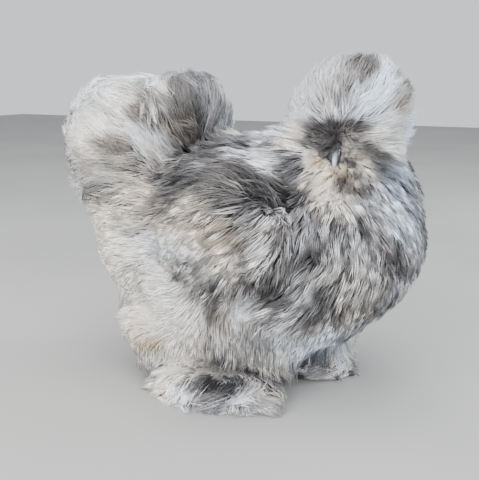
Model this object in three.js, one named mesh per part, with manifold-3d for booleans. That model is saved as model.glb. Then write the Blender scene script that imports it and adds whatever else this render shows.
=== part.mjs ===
// Bearded silkie chicken, standing, at life size: the outer form of the bird out
// to the tips of its plumage, parted where a person would name its parts.
//
// Units are millimetres, +Z is up.  The bird is laid out in its own directions
// (s = forward, l = towards its left, z = up) and V() turns those into the
// part's frame, where the bird faces -Y and its right side is -X.
import * as THREE from 'three';
import { mergeVertices } from 'three/addons/utils/BufferGeometryUtils.js';
import Module from 'manifold-3d';

const wasm = await Module();
wasm.setup();

// ---------------------------------------------------------------- dimensions
const GAP = 0.42;            // clearance between neighbouring pieces
const BLEND = 14;            // how softly two masses of plumage run together
const STEP = 3;              // stride of the search for a mass's outer surface

// masses of plumage: [centre s,l,z], [radius along s,l,z], nose-down tip, degrees
const BODY = [
  { at: [-25, 0, 168], r: [115, 102, 98] },     // back and flanks
  { at: [59, 0, 160], r: [79, 88, 82] },        // breast
  { at: [8, 0, 110], r: [92, 80, 64] },         // belly
  { at: [-112, 0, 150], r: [103, 86, 88] },     // rear fluff
  { at: [-150, 0, 180], r: [80, 66, 56] },      // fluff under the tail
];
const NECK = [
  { at: [62, 0, 212], r: [71, 54, 60] },        // hackle
  { at: [60, 0, 168], r: [79, 86, 76] },        // its skirt over the breast
  { at: [20, 0, 234], r: [58, 50, 43] },        // cape running onto the back
];
const CREST = [
  { at: [61, 5, 274], r: [58, 54, 56] },        // globe
  { at: [72, 4, 292], r: [44, 44, 44] },        // fuller top at the right
];
const BEARD = [
  { at: [64, -14, 232], r: [54, 42, 40] },      // beard and both muffs
];
const TAIL = [
  { at: [-178, 0, 240], r: [74, 74, 72] },      // main lobe
  { at: [-190, 0, 205], r: [64, 62, 44] },      // lower lobe
];
const CUSHION = [
  { at: [-108, 0, 253], r: [44, 70, 70] },      // saddle plumage before the tail
];
const WING = [
  { at: [-8, -96, 180], r: [72, 22, 46], tip: 8 },
  { at: [-48, -90, 166], r: [46, 18, 30], tip: 20 },
];
const THIGH_RIGHT = [
  { at: [-52, -52, 106], r: [72, 50, 66] },
  { at: [-108, -45, 62], r: [60, 38, 32] },     // hock tuft
  { at: [0, -34, 92], r: [60, 46, 50] },        // skirt before the thigh
];
const THIGH_LEFT = [
  { at: [28, 50, 100], r: [52, 46, 56] },
  { at: [-38, 48, 72], r: [62, 38, 38] },       // hock tuft
];
const BOOT_RIGHT = [
  { at: [-54, -59, 16], r: [80, 51, 26] },      // foot feathering
];
const BOOT_LEFT = [
  { at: [20, 56, 14], r: [47, 44, 25] },
  { at: [-14, 70, 14], r: [54, 40, 21] },
];

// head: it is turned to the bird's right and tipped a little down
const SKULL = [62, -14, 256];
const HEAD_TURN = 84;        // degrees from straight ahead
const HEAD_DOWN = 27;
const SKULL_R = [21, 14.2, 16];                 // length, half width, height
const EYE_R = 5;
const EYE_AT = [6.8, 9.1, 3.2];                 // along, sideways, up from the skull
const BEAK = { root: 14.5, long: 21, wide: 5.4, deep: 3.9, hook: 5.5 };
const COMB_R = [5.8, 5.6, 4.2];

// legs: the left foot stands one stride before the right one
const FOOT_RIGHT = [-43, -43];
const FOOT_LEFT = [24, 46];
const HOCK = { back: 27, up: 64 };
const SHANK_R = 5.2;
const TOE_R = 4.3;
const TOES = [               // turn from straight ahead, length, root height, tip height
  { turn: 2, long: 40, root: 6.5, tip: 3.4 },   // middle toe
  { turn: 33, long: 34, root: 6.2, tip: 3.3 },  // inner toe
  { turn: -31, long: 35, root: 6.2, tip: 3.3 }, // outer toe
  { turn: 164, long: 20, root: 6.4, tip: 3.3 }, // hind toe
  { turn: 139, long: 21, root: 9.5, tip: 12.5 },   // the extra fifth toe, curved up
];
const CLAW_LONG = 10;
const CLAW_R = 1.9;

// ------------------------------------------------------------------- helpers
const DEG = Math.PI / 180;
const V = (s, l, z) => new THREE.Vector3(l, -s, z);

// signed distance, near enough, to an ellipsoid
function ellipsoid({ at, r, tip = 0, turn = 0 }) {
  const centre = V(...at);
  const radii = new THREE.Vector3(r[1], r[0], r[2]);
  const back = new THREE.Quaternion()
    .setFromEuler(new THREE.Euler(tip * DEG, 0, turn * DEG, 'ZYX')).invert();
  const d = new THREE.Vector3();
  return (p) => {
    d.copy(p).sub(centre).applyQuaternion(back);
    const k0 = Math.hypot(d.x / radii.x, d.y / radii.y, d.z / radii.z);
    const k1 = Math.hypot(d.x / radii.x ** 2, d.y / radii.y ** 2, d.z / radii.z ** 2);
    return k1 < 1e-9 ? -Math.min(r[0], r[1], r[2]) : k0 * (k0 - 1) / k1;
  };
}
const softMin = (a, b, k) => {
  const h = Math.max(k - Math.abs(a - b), 0) / k;
  return Math.min(a, b) - h * h * k * 0.25;
};
// shallow overlapping locks: ridges that run down the coat and step outwards
function locks(p, size) {
  const a = Math.atan2(p.x, p.y + 40) * 115 / size;
  const row = Math.floor((p.z + 6 * Math.sin(a * 0.7)) / (size * 1.1));
  const down = (p.z + 6 * Math.sin(a * 0.7)) / (size * 1.1) - row;
  const across = Math.cos(2 * Math.PI * (a * 0.16 + 0.5 * (row % 2)));
  return (0.55 - down) * (0.6 + 0.4 * across);
}
function mass(list, { relief = 1.6, size = 30, blend = BLEND } = {}) {
  const fields = list.map(ellipsoid);
  return (p) => {
    let d = fields[0](p);
    for (let i = 1; i < fields.length; i++) d = softMin(d, fields[i](p), blend);
    return d - relief * locks(p, size);
  };
}
function weld(geometry) {
  for (const name of Object.keys(geometry.attributes)) {
    if (name !== 'position') geometry.deleteAttribute(name);
  }
  return mergeVertices(geometry, 1e-4);
}
// a globe whose vertices are carried out to the surface of a field
function globe(field, middle, detail, stretch = [1, 1, 1]) {
  const g = weld(new THREE.IcosahedronGeometry(1, detail));
  const at = g.attributes.position;
  const c = V(...middle), dir = new THREE.Vector3(), p = new THREE.Vector3();
  const pull = new THREE.Vector3(stretch[1], stretch[0], stretch[2]);
  for (let i = 0; i < at.count; i++) {
    dir.fromBufferAttribute(at, i).multiply(pull).normalize();
    let lo = 0;
    for (let t = STEP; t < 330; t += STEP) {
      if (field(p.copy(c).addScaledVector(dir, t)) < 0) lo = t;
    }
    let hi = lo + STEP;
    for (let k = 0; k < 22; k++) {
      const t = (lo + hi) / 2;
      if (field(p.copy(c).addScaledVector(dir, t)) < 0) lo = t; else hi = t;
    }
    p.copy(c).addScaledVector(dir, lo);
    at.setXYZ(i, p.x, p.y, p.z);
  }
  return g;
}
// a round bar bent along a curve, radius given as a function of 0..1
function limb(points, radius, sides, rings, flat = 1) {
  const curve = new THREE.CatmullRomCurve3(points);
  const g = weld(new THREE.CylinderGeometry(1, 1, 1, sides, rings));
  const at = g.attributes.position;
  const up = new THREE.Vector3(), side = new THREE.Vector3(), tan = new THREE.Vector3();
  for (let i = 0; i < at.count; i++) {
    const u = THREE.MathUtils.clamp(at.getY(i) + 0.5, 0, 1);
    curve.getTangentAt(u, tan);
    side.crossVectors(tan, Math.abs(tan.z) > 0.9 ? V(1, 0, 0) : V(0, 0, 1)).normalize();
    up.crossVectors(side, tan).normalize();
    const p = curve.getPointAt(u), r = radius(u);
    p.addScaledVector(side, at.getX(i) * r).addScaledVector(up, -at.getZ(i) * r * flat);
    at.setXYZ(i, p.x, p.y, p.z);
  }
  return g;
}
function solid(geometry) {
  const g = geometry.attributes.normal ? weld(geometry) : geometry;
  return new wasm.Manifold(new wasm.Mesh({
    numProp: 3,
    vertProperties: new Float32Array(g.attributes.position.array),
    triVerts: new Uint32Array(g.index.array),
  }));
}
// the same shape, a gap's width larger all round
function larger(geometry, by = GAP) {
  const g = geometry.clone();
  g.computeVertexNormals();
  const at = g.attributes.position, n = g.attributes.normal;
  for (let i = 0; i < at.count; i++) {
    at.setXYZ(i, at.getX(i) + by * n.getX(i), at.getY(i) + by * n.getY(i), at.getZ(i) + by * n.getZ(i));
  }
  g.deleteAttribute('normal');
  return g;
}
function turnedOut(geometry) {          // faces point outwards
  const at = geometry.attributes.position, ix = geometry.index.array;
  const a = new THREE.Vector3(), b = new THREE.Vector3(), c = new THREE.Vector3();
  let volume = 0;
  for (let i = 0; i < ix.length; i += 3) {
    a.fromBufferAttribute(at, ix[i]); b.fromBufferAttribute(at, ix[i + 1]); c.fromBufferAttribute(at, ix[i + 2]);
    volume += a.dot(b.cross(c));
  }
  if (volume < 0) for (let i = 0; i < ix.length; i += 3) [ix[i], ix[i + 1]] = [ix[i + 1], ix[i]];
  return geometry;
}

const below = solid(new THREE.BoxGeometry(1200, 1200, 200).translate(0, 0, -100));
// flat seams between neighbours: [on the side the normal points to, other side, point, normal]
const SEAMS = [
  ['crest', 'neck', [62, 0, 250], [0.35, 0, 0.94]],
  ['crest', 'beard', [62, -30, 250], [0, 0.2, 1]],
  ['neck', 'trunk', [54, 0, 208], [0.6, 0, 0.8]],
  ['tail', 'trunk', [-168, 0, 202], [-0.486, 0, 0.874]],
  ['tail', 'saddle_cushion', [-136, 0, 250], [-0.98, 0, 0.17]],
  ['thigh_right', 'thigh_left', [0, 8, 80], [0, -1, 0]],
  ['thigh_right', 'foot_feathers_right', [0, 0, 38], [0, 0, 1]],
  ['thigh_left', 'foot_feathers_left', [0, 0, 36], [0, 0, 1]],
];
function farSide(point, normal, way, gap = GAP / 2) {   // everything beyond a seam, and the gap
  const n = V(...normal).normalize().multiplyScalar(way);
  const turn = new THREE.Quaternion().setFromUnitVectors(new THREE.Vector3(0, 0, 1), n);
  const p = V(...point).addScaledVector(n, gap - 600);
  return solid(new THREE.BoxGeometry(1200, 1200, 1200).applyQuaternion(turn).translate(p.x, p.y, p.z));
}
const made = new Map();      // name -> { form, wider, look }
function piece(name, geometries, look, { from = [], rooms = [], floor = false, back = null } = {}) {
  const list = (Array.isArray(geometries) ? geometries : [geometries]).map(turnedOut);
  let form = null, wider = null;
  for (const g of list) {
    const f = solid(g), w = solid(larger(g));
    form = form ? form.add(f) : f;
    wider = wider ? wider.add(w) : w;
  }
  for (const [near, far, point, normal] of SEAMS) {
    if (near === name) form = form.subtract(farSide(point, normal, 1));
    if (far === name) form = form.subtract(farSide(point, normal, -1));
  }
  if (back) {                           // a flat inner side against the trunk
    form = form.subtract(farSide(...back, 1, 0));
    wider = wider.subtract(farSide(...back, 1, -GAP));
  }
  if (floor) form = form.subtract(below);
  for (const other of from) form = form.subtract(made.get(other).wider);
  for (const room of rooms) form = form.subtract(solid(turnedOut(room)));
  const bodies = form.decompose().sort((a, b) => b.volume() - a.volume());
  made.set(name, { form: bodies[0], wider, look });
}

// --------------------------------------------------------------------- looks
const look = (color, roughness) => ({ color, roughness, metalness: 0 });
const PALE = look(0xc9c3bc, 0.92);
const GREY = look(0x8f8a88, 0.92);
const CREAM = look(0xd3c7b4, 0.92);
const SKIN = look(0x3a3440, 0.6);
const HORN = look(0x5c6470, 0.38);
const MULBERRY = look(0x3b2430, 0.55);
const TURQUOISE = look(0x6fa3ae, 0.5);
const EYE = look(0x120c0a, 0.06);

// ---------------------------------------------------------------------- head
const f = V(
  Math.cos(HEAD_TURN * DEG) * Math.cos(HEAD_DOWN * DEG),
  -Math.sin(HEAD_TURN * DEG) * Math.cos(HEAD_DOWN * DEG),
  -Math.sin(HEAD_DOWN * DEG));
const L = new THREE.Vector3(0, 0, 1).cross(f).normalize();
const U = new THREE.Vector3().crossVectors(f, L);
const headPoint = (a, b, c) => V(...SKULL)
  .addScaledVector(f, a).addScaledVector(L, b).addScaledVector(U, c);
const headTurn = new THREE.Matrix4().makeBasis(L.clone().negate(), f.clone().negate(), U);
function onHead(geometry, a, b, c) {    // geometry drawn with x = right, y = back, z = up
  const p = headPoint(a, b, c);
  return weld(geometry.applyMatrix4(headTurn).translate(p.x, p.y, p.z));
}
function lumpy(radii, wide, tall, lump, waves) {
  const g = weld(new THREE.SphereGeometry(1, wide, tall));
  const at = g.attributes.position;
  for (let i = 0; i < at.count; i++) {
    const x = at.getX(i), y = at.getY(i), z = at.getZ(i);
    const k = 1 + lump * Math.sin(waves * x + 1) * Math.sin(waves * y) * Math.cos(waves * z * 0.8);
    at.setXYZ(i, x * radii[0] * k, y * radii[1] * k, z * radii[2] * k);
  }
  return g;
}
for (const [side, m] of [['right', -1], ['left', 1]]) {
  const p = headPoint(EYE_AT[0], m * EYE_AT[1], EYE_AT[2]);
  piece(`eye_${side}`, weld(new THREE.SphereGeometry(EYE_R, 10, 5).translate(p.x, p.y, p.z)), EYE);
}
piece('beak_upper', limb([
  headPoint(BEAK.root - 3, 0, 0.5), headPoint(BEAK.root + BEAK.long * 0.35, 0, 0.9),
  headPoint(BEAK.root + BEAK.long * 0.75, 0, -1.2), headPoint(BEAK.root + BEAK.long, 0, -BEAK.hook),
], (u) => BEAK.wide * Math.max(0.12, Math.pow(1 - u, 0.55)), 8, 5, BEAK.deep / BEAK.wide), HORN);
piece('beak_lower', limb([
  headPoint(BEAK.root - 3, 0, -4.9), headPoint(BEAK.root + BEAK.long * 0.4, 0, -5.1),
  headPoint(BEAK.root + BEAK.long * 0.76, 0, -4.9),
], (u) => 4.4 * Math.max(0.2, Math.pow(1 - u, 0.55)), 8, 3, 0.62), HORN, { from: ['beak_upper'] });
piece('comb', onHead(lumpy(COMB_R, 9, 6, 0.16, 5.5), 14.6, 0, 8.4), MULBERRY, { from: ['beak_upper'] });
for (const [side, m] of [['right', -1], ['left', 1]]) {
  piece(`wattle_${side}`, onHead(lumpy([2.4, 4, 5.2], 6, 4, 0, 1), 11.8, m * 5, -10.2), MULBERRY, { from: ['beak_lower'] });
  piece(`earlobe_${side}`, onHead(lumpy([2.4, 4.6, 5.6], 6, 4, 0, 1), -1.5, m * 13.4, -5), TURQUOISE);
}
{
  const skull = weld(new THREE.IcosahedronGeometry(1, 2));
  const at = skull.attributes.position;
  for (let i = 0; i < at.count; i++) {  // narrower towards the beak, vaulted behind
    const x = at.getX(i), y = at.getY(i), z = at.getZ(i);
    const front = Math.max(0, -y);
    at.setXYZ(i, x * SKULL_R[1] * (1 - 0.42 * front * front),
      y * SKULL_R[0], z * SKULL_R[2] * (1 - 0.3 * front) * (z > 0 ? 1.06 : 0.96));
  }
  piece('head', onHead(skull, 0, 0, 0), SKIN, { from: [...made.keys()] });
}

// ---------------------------------------------------------------------- legs
function leg(side, [s0, l0], m) {
  const forward = (turn) => [Math.cos(turn * DEG), m * Math.sin(turn * DEG)];
  const bars = [];
  TOES.forEach((toe, i) => {
    const [a, b] = forward(toe.turn);
    const start = toe.long * 0.04, end = toe.long;
    const at = (t, z) => V(s0 + a * t, l0 + b * t, z);
    const tipHigh = toe.tip;
    const midHigh = i < 4 ? TOE_R * 0.78 : (toe.root + toe.tip) / 2 - 1.5;
    bars.push(limb([at(start, toe.root), at(toe.long * 0.4, midHigh),
      at(toe.long * 0.75, i < 4 ? TOE_R * 0.74 : toe.tip - 3.5), at(end, tipHigh)],
    (u) => TOE_R * (1.05 - 0.38 * u), 5, 3));
    // claw: out of the toe's end, curving down to just clear of the floor
    const claw = limb([at(end + (i < 4 ? 0.4 : 1.3), tipHigh + 0.6), at(end + CLAW_LONG * 0.35, tipHigh + 0.7),
      at(end + CLAW_LONG * 0.75, i < 4 ? 1.7 : tipHigh - 0.4)],
    (u) => CLAW_R * Math.max(0.28, 1 - 0.8 * u), 5, 2);
    piece(`claw_${side}_${i + 1}`, claw, HORN);
  });
  bars.push(limb([V(s0 - HOCK.back, l0 * 0.96, HOCK.up), V(s0 - HOCK.back * 0.55, l0 * 0.98, HOCK.up * 0.58),
    V(s0 - 3, l0, 13), V(s0 + 3, l0, 4.5)],
  (u) => SHANK_R * (1.25 - 0.45 * Math.sin(Math.PI * Math.min(1, u * 1.15)) + 0.1 * u), 8, 4));
  piece(`foot_${side}`, bars, SKIN, { floor: true });
}
leg('right', FOOT_RIGHT, 1);
leg('left', FOOT_LEFT, -1);

// ------------------------------------------------------------------- plumage
// a shallow hollow in which the face lies, between crest and beard
const hollow = ellipsoid({ at: [61.5, -54, 247], r: [25, 29, 13], turn: 6 });
const withFace = (field) => (p) => Math.max(field(p), -hollow(p));
const mirror = (list) => list.map((e) => ({ ...e, at: [e.at[0], -e.at[1], e.at[2]] }));
const plume = (name, list, middle, detail, look, extra = {}) => piece(name,
  globe((extra.face ? withFace : (x) => x)(mass(list, extra)), middle, detail, extra.stretch), look, extra);

// room that the plumage leaves for the face, for the head, for each shank and for the toes
const faceRoom = () => {
  const p = V(61.5, -52, 247);
  return weld(new THREE.IcosahedronGeometry(1, 1).scale(35, 30, 18).translate(p.x, p.y, p.z));
};
const headRoom = () => onHead(new THREE.IcosahedronGeometry(1, 1).scale(20, 26, 19.5), 1, 0, 0);
const legRoom = ([s0, l0]) => limb([V(s0 - HOCK.back - 6, l0 * 0.96, HOCK.up + 8),
  V(s0 - HOCK.back * 0.55, l0 * 0.98, HOCK.up * 0.58), V(s0, l0, 8)], () => SHANK_R * 1.75, 8, 2);
// two low prisms, one round the front toes and one round the hind ones: [forward, inward]
const TOE_ROOMS = [
  { high: 12.5, round: [[-8, -9], [36, -33], [45, -24], [52, -8], [52, 8], [45, 25], [36, 33], [-8, 9]] },
  { high: 18, round: [[4, -8], [4, 10], [-16, 28], [-32, 22], [-37, 8], [-33, -1]] },
];
const toeRooms = ([s0, l0], m) => TOE_ROOMS.map(({ high, round }) => {
  const outline = new THREE.Shape(round.map(([a, b]) => new THREE.Vector2(l0 + m * b, -(s0 + a))));
  return weld(new THREE.ExtrudeGeometry(outline, { depth: high + 4, bevelEnabled: false }).translate(0, 0, -4));
});

// the foot feathering rests on its rim: underneath it is hollowed a little
const archUnder = ([s, l], rs, rl) => {
  const p = V(s, l, -1.5);
  return weld(new THREE.IcosahedronGeometry(1, 1).scale(rl, rs, 9).translate(p.x, p.y, p.z));
};

plume('beard', BEARD, [64, -8, 226], 3, CREAM,
  { face: true, relief: 1.2, size: 20, rooms: [headRoom()], from: ['wattle_right', 'wattle_left', 'beak_lower', 'beak_upper'] });
plume('crest', CREST, [64, 10, 284], 4, PALE,
  { face: true, relief: 1.4, size: 22, rooms: [headRoom()], from: ['comb', 'beak_upper'] });
plume('neck', NECK, [58, 0, 214], 4, GREY, { relief: 1.8, size: 24, rooms: [faceRoom()], from: ['beard'] });
plume('wing_right', WING, [-14, -92, 176], 3, GREY,
  { relief: 2.2, size: 22, stretch: [1, 0.5, 0.8], back: [[-10, -84, 180], [0, -1, 0]] });
plume('wing_left', mirror(WING), [-14, 92, 176], 3, GREY,
  { relief: 2.2, size: 22, stretch: [1, 0.5, 0.8], back: [[-10, 84, 180], [0, 1, 0]] });
plume('saddle_cushion', CUSHION, [-108, 0, 250], 3, GREY,
  { relief: 2, stretch: [0.75, 1, 1], back: [[-108, 0, 213], [0, 0, 1]] });
plume('tail', TAIL, [-180, 0, 226], 4, PALE, { relief: 2.6, size: 26 });
plume('foot_feathers_right', BOOT_RIGHT, [-56, -60, 12], 3, PALE,
  { relief: 1.6, size: 16, stretch: [1, 0.7, 0.4], floor: true, rooms: [legRoom(FOOT_RIGHT), ...toeRooms(FOOT_RIGHT, 1), archUnder([-62, -60], 58, 32)] });
plume('foot_feathers_left', BOOT_LEFT, [4, 64, 12], 3, PALE,
  { relief: 1.6, size: 16, stretch: [1, 0.8, 0.4], floor: true, rooms: [legRoom(FOOT_LEFT), ...toeRooms(FOOT_LEFT, -1), archUnder([-8, 64], 48, 28)] });
plume('thigh_right', THIGH_RIGHT, [-48, -48, 92], 3, CREAM,
  { relief: 1.8, size: 26, stretch: [1.2, 0.7, 0.9], back: [[-52, -42, 120], [0, -0.62, -0.78]], rooms: [legRoom(FOOT_RIGHT)], from: ['wing_right'] });
plume('thigh_left', THIGH_LEFT, [6, 49, 92], 3, CREAM,
  { relief: 1.8, size: 26, stretch: [1.2, 0.7, 0.9], back: [[-10, 42, 112], [0, 0.62, -0.78]], rooms: [legRoom(FOOT_LEFT)], from: ['wing_left'] });
plume('trunk', BODY, [-28, 0, 150], 5, PALE, { relief: 2, size: 30,
  from: ['wing_right', 'wing_left', 'saddle_cushion', 'thigh_right', 'thigh_left', 'beard'] });

// --------------------------------------------------------------------- group
const silkie = new THREE.Group();
for (const [name, { form, look }] of made) {
  const out = form.getMesh();
  const g = new THREE.BufferGeometry();
  const xyz = new Float32Array(out.numVert * 3);
  for (let i = 0; i < out.numVert; i++) {
    for (let k = 0; k < 3; k++) xyz[3 * i + k] = out.vertProperties[i * out.numProp + k];
  }
  g.setAttribute('position', new THREE.BufferAttribute(xyz, 3));
  g.setIndex(new THREE.BufferAttribute(new Uint32Array(out.triVerts), 1));
  g.computeVertexNormals();
  const mesh = new THREE.Mesh(g, new THREE.MeshStandardMaterial(look));
  mesh.name = name;
  silkie.add(mesh);
}
// the origin is under the middle of the bird, on the floor
silkie.updateMatrixWorld(true);
const room = new THREE.Box3().setFromObject(silkie);
silkie.position.set(-(room.min.x + room.max.x) / 2, -(room.min.y + room.max.y) / 2, -room.min.z);
silkie.updateMatrixWorld(true);

export default silkie;
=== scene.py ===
import math

import bpy
import numpy as np
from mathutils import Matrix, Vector


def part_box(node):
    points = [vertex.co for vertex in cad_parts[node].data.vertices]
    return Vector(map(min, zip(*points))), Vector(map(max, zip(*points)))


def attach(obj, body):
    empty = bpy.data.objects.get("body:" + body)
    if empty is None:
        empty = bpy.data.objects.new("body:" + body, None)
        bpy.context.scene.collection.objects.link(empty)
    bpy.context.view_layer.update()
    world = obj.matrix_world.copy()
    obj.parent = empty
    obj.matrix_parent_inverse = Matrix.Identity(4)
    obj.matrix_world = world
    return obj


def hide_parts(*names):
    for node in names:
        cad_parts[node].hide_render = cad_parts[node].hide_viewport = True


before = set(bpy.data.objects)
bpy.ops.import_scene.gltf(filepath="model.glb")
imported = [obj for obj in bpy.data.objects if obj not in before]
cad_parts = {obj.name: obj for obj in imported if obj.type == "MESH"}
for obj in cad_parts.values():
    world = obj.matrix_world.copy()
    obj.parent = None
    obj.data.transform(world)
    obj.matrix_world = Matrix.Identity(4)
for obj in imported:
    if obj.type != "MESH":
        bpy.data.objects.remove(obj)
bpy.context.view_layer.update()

rng = np.random.default_rng(20261)

# ---------------------------------------------------------------------------
# The bird is laid out in its own directions, in millimetres: s forward, l to
# its left, z up.  to_row() turns them into the frame's metres.
# ---------------------------------------------------------------------------
SKULL = np.array([62.0, -14.0, 256.0])
HEAD_TURN, HEAD_DOWN = math.radians(84), math.radians(27)
HF = np.array([math.cos(HEAD_TURN) * math.cos(HEAD_DOWN), -math.sin(HEAD_TURN) * math.cos(HEAD_DOWN), -math.sin(HEAD_DOWN)])
HL = np.cross([0, 0, 1.0], HF)
HL /= np.linalg.norm(HL)
HU = np.cross(HF, HL)


def head_point(a, b, c):
    return SKULL + HF * a + HL * b + HU * c


EYE_AT = (6.8, 9.1, 3.2)
EYE_R = 5.0
_lo, _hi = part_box("eye_right")
_eye = np.array((_lo + _hi) / 2) * 1000
_e = head_point(EYE_AT[0], -EYE_AT[1], EYE_AT[2])
SHIFT = np.array([_eye[0] - _e[1], _eye[1] + _e[0]])


def to_row(p):
    p = np.asarray(p, float)
    return np.stack([p[..., 1] + SHIFT[0], -p[..., 0] + SHIFT[1], p[..., 2]], -1) / 1000


# --------------------------------------------------------------- masses
# name: [(centre, radii, nose-down tip in degrees)], out to the feather tips
OUTER = {
    "trunk": [((-25, 0, 168), (115, 102, 98), 0), ((59, 0, 160), (79, 88, 82), 0), ((8, 0, 110), (92, 80, 64), 0),
              ((-112, 0, 150), (103, 86, 88), 0), ((-150, 0, 180), (80, 66, 56), 0)],
    "neck": [((62, 0, 212), (71, 54, 60), 0), ((60, 0, 168), (79, 86, 76), 0), ((20, 0, 234), (58, 50, 43), 0)],
    "crest": [((62, 5, 274), (62, 54, 57), 0), ((73, 4, 292), (46, 44, 45), 0)],
    "beard": [((64, -14, 232), (54, 42, 40), 0)],
    "tail": [((-178, 0, 240), (74, 74, 72), 0), ((-190, 0, 205), (64, 62, 44), 0), ((-190, 0, 262), (54, 62, 56), 0)],
    "cushion": [((-108, 0, 253), (44, 70, 70), 0)],
    "wing_right": [((-8, -96, 180), (72, 22, 46), 8), ((-48, -90, 166), (46, 18, 30), 20)],
    "wing_left": [((-8, 96, 180), (72, 22, 46), 8), ((-48, 90, 166), (46, 18, 30), 20)],
    "thigh_right": [((-52, -52, 106), (72, 50, 66), 0), ((-108, -45, 62), (60, 38, 32), 0), ((0, -34, 92), (60, 46, 50), 0)],
    "thigh_left": [((28, 50, 92), (52, 46, 66), 0), ((-38, 48, 72), (62, 38, 38), 0)],
    "boot_right": [((-54, -59, 16), (80, 51, 26), 0)],
    "boot_left": [((20, 56, 14), (47, 44, 25), 0), ((-14, 70, 14), (54, 40, 21), 0)],
}
# the skin under it, the coat's depth further in
INNER = {
    "trunk": [((-25, 0, 165), (99, 85, 81), 0), ((57, 0, 158), (63, 71, 66), 0), ((8, 0, 111), (76, 63, 50), 0),
              ((-110, 0, 150), (88, 70, 71), 0), ((-144, 0, 180), (64, 52, 42), 0)],
    "neck": [((60, 0, 210), (55, 39, 46), 0), ((59, 0, 166), (63, 69, 60), 0), ((20, 0, 230), (42, 36, 30), 0)],
    "crest": [((62, 6, 274), (42, 39, 41), 0), ((72, 5, 291), (30, 30, 30), 0)],
    "beard": [((64, -8, 231), (38, 27, 27), 0), ((62, -13, 217), (36, 28, 20), 0)],
    "tail": [((-172, 0, 238), (56, 54, 58), 0), ((-176, 0, 207), (46, 44, 28), 0), ((-144, 0, 268), (34, 48, 34), 0), ((-184, 0, 258), (38, 44, 40), 0)],
    "cushion": [((-108, 0, 246), (26, 50, 54), 0)],
    "wing_right": [((-20, -88, 180), (56, 17, 37), 8), ((-50, -85, 166), (34, 12, 21), 20)],
    "wing_left": [((-20, 88, 180), (56, 17, 37), 8), ((-50, 85, 166), (34, 12, 21), 20)],
    "thigh_right": [((-51, -47, 106), (57, 38, 50), 0), ((-112, -42, 63), (50, 30, 22), 0), ((0, -31, 93), (46, 34, 36), 0)],
    "thigh_left": [((28, 46, 93), (40, 35, 53), 0), ((-34, 42, 74), (44, 26, 25), 0)],
    "boot_right": [((-50, -54, 17), (54, 30, 13), 0)],
    "boot_left": [((20, 53, 15), (30, 28, 12), 0), ((-10, 62, 14), (36, 24, 10), 0)],
}
FEET = {"right": ((-43.0, -43.0), 1), "left": ((24.0, 46.0), -1)}
HOCK_BACK, HOCK_UP, TOE_R = 27.0, 64.0, 4.3
TOES = [(2, 40, 6.5, 3.4), (33, 34, 6.2, 3.3), (-31, 35, 6.2, 3.3), (164, 20, 6.4, 3.3), (139, 21, 9.5, 12.5)]
NAMES = list(OUTER)


def ell(p, m):
    c, r, tip = m
    x, y, z = p[:, 0] - c[0], p[:, 1] - c[1], p[:, 2] - c[2]
    if tip:
        ca, sa = math.cos(math.radians(tip)), math.sin(math.radians(tip))
        x, z = x * ca - z * sa, x * sa + z * ca
    x, y, z = x / r[0], y / r[1], z / r[2]
    k0 = np.sqrt(x * x + y * y + z * z)
    x, y, z = x / r[0], y / r[1], z / r[2]
    return k0 * (k0 - 1) / (np.sqrt(x * x + y * y + z * z) + 1e-9)


def smin(a, b, k):
    h = np.maximum(k - np.abs(a - b), 0) / k
    return np.minimum(a, b) - h * h * k * 0.25


def capsule(p, a, b, ra, rb):
    a, b = np.asarray(a, float), np.asarray(b, float)
    t = np.clip(((p - a) @ (b - a)) / ((b - a) @ (b - a)), 0, 1)
    return np.linalg.norm(p - (a + t[:, None] * (b - a)), axis=1) - (ra + (rb - ra) * t)


def outer(p):
    """Rough distance to the outline of the plumage, minus inside."""
    d = None
    for masses in OUTER.values():
        for m in masses:
            e = ell(p, m)
            d = e if d is None else smin(d, e, 10)
    return d


def labels(p):
    """Which mass of plumage a point of the skin belongs to."""
    best, lab = np.full(len(p), 1e9), np.zeros(len(p), int)
    for i, n in enumerate(NAMES):
        for m in INNER[n]:
            e = ell(p, m)
            lab[e < best] = i
            best = np.minimum(best, e)
    return lab


def legs(p):
    """Shanks and toes."""
    d = None
    for (s0, l0), m in FEET.values():
        hock = (s0 - HOCK_BACK, l0 * 0.96, HOCK_UP)
        mid = (s0 - HOCK_BACK * 0.55, l0 * 0.98, HOCK_UP * 0.58)
        parts = [capsule(p, hock, mid, 6.4, 4.9), capsule(p, mid, (s0 - 2, l0, 12), 4.9, 5.2),
                 capsule(p, (s0 - 2, l0, 12), (s0 + 2, l0, 5.5), 5.4, 5.2)]
        for i, (turn, long, root, tip) in enumerate(TOES):
            a, b = math.cos(math.radians(turn)), m * math.sin(math.radians(turn))
            z1 = TOE_R * 0.78 if i < 4 else (root + tip) / 2 - 1.5
            p0 = (s0 + a, l0 + b, root)
            p1 = (s0 + a * long * 0.4, l0 + b * long * 0.4, z1)
            p2 = (s0 + a * long, l0 + b * long, tip)
            parts += [capsule(p, p0, p1, 4.5, 3.9), capsule(p, p1, p2, 3.9, 2.9)]
        for e in parts:
            d = e if d is None else smin(d, e, 2.5)
    # the scutes across shank and toes
    return np.maximum(d + 0.22 * np.sin(p[:, 2] * 1.9) * np.sin(p[:, 0] * 1.7), 0.0 - p[:, 2])


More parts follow.
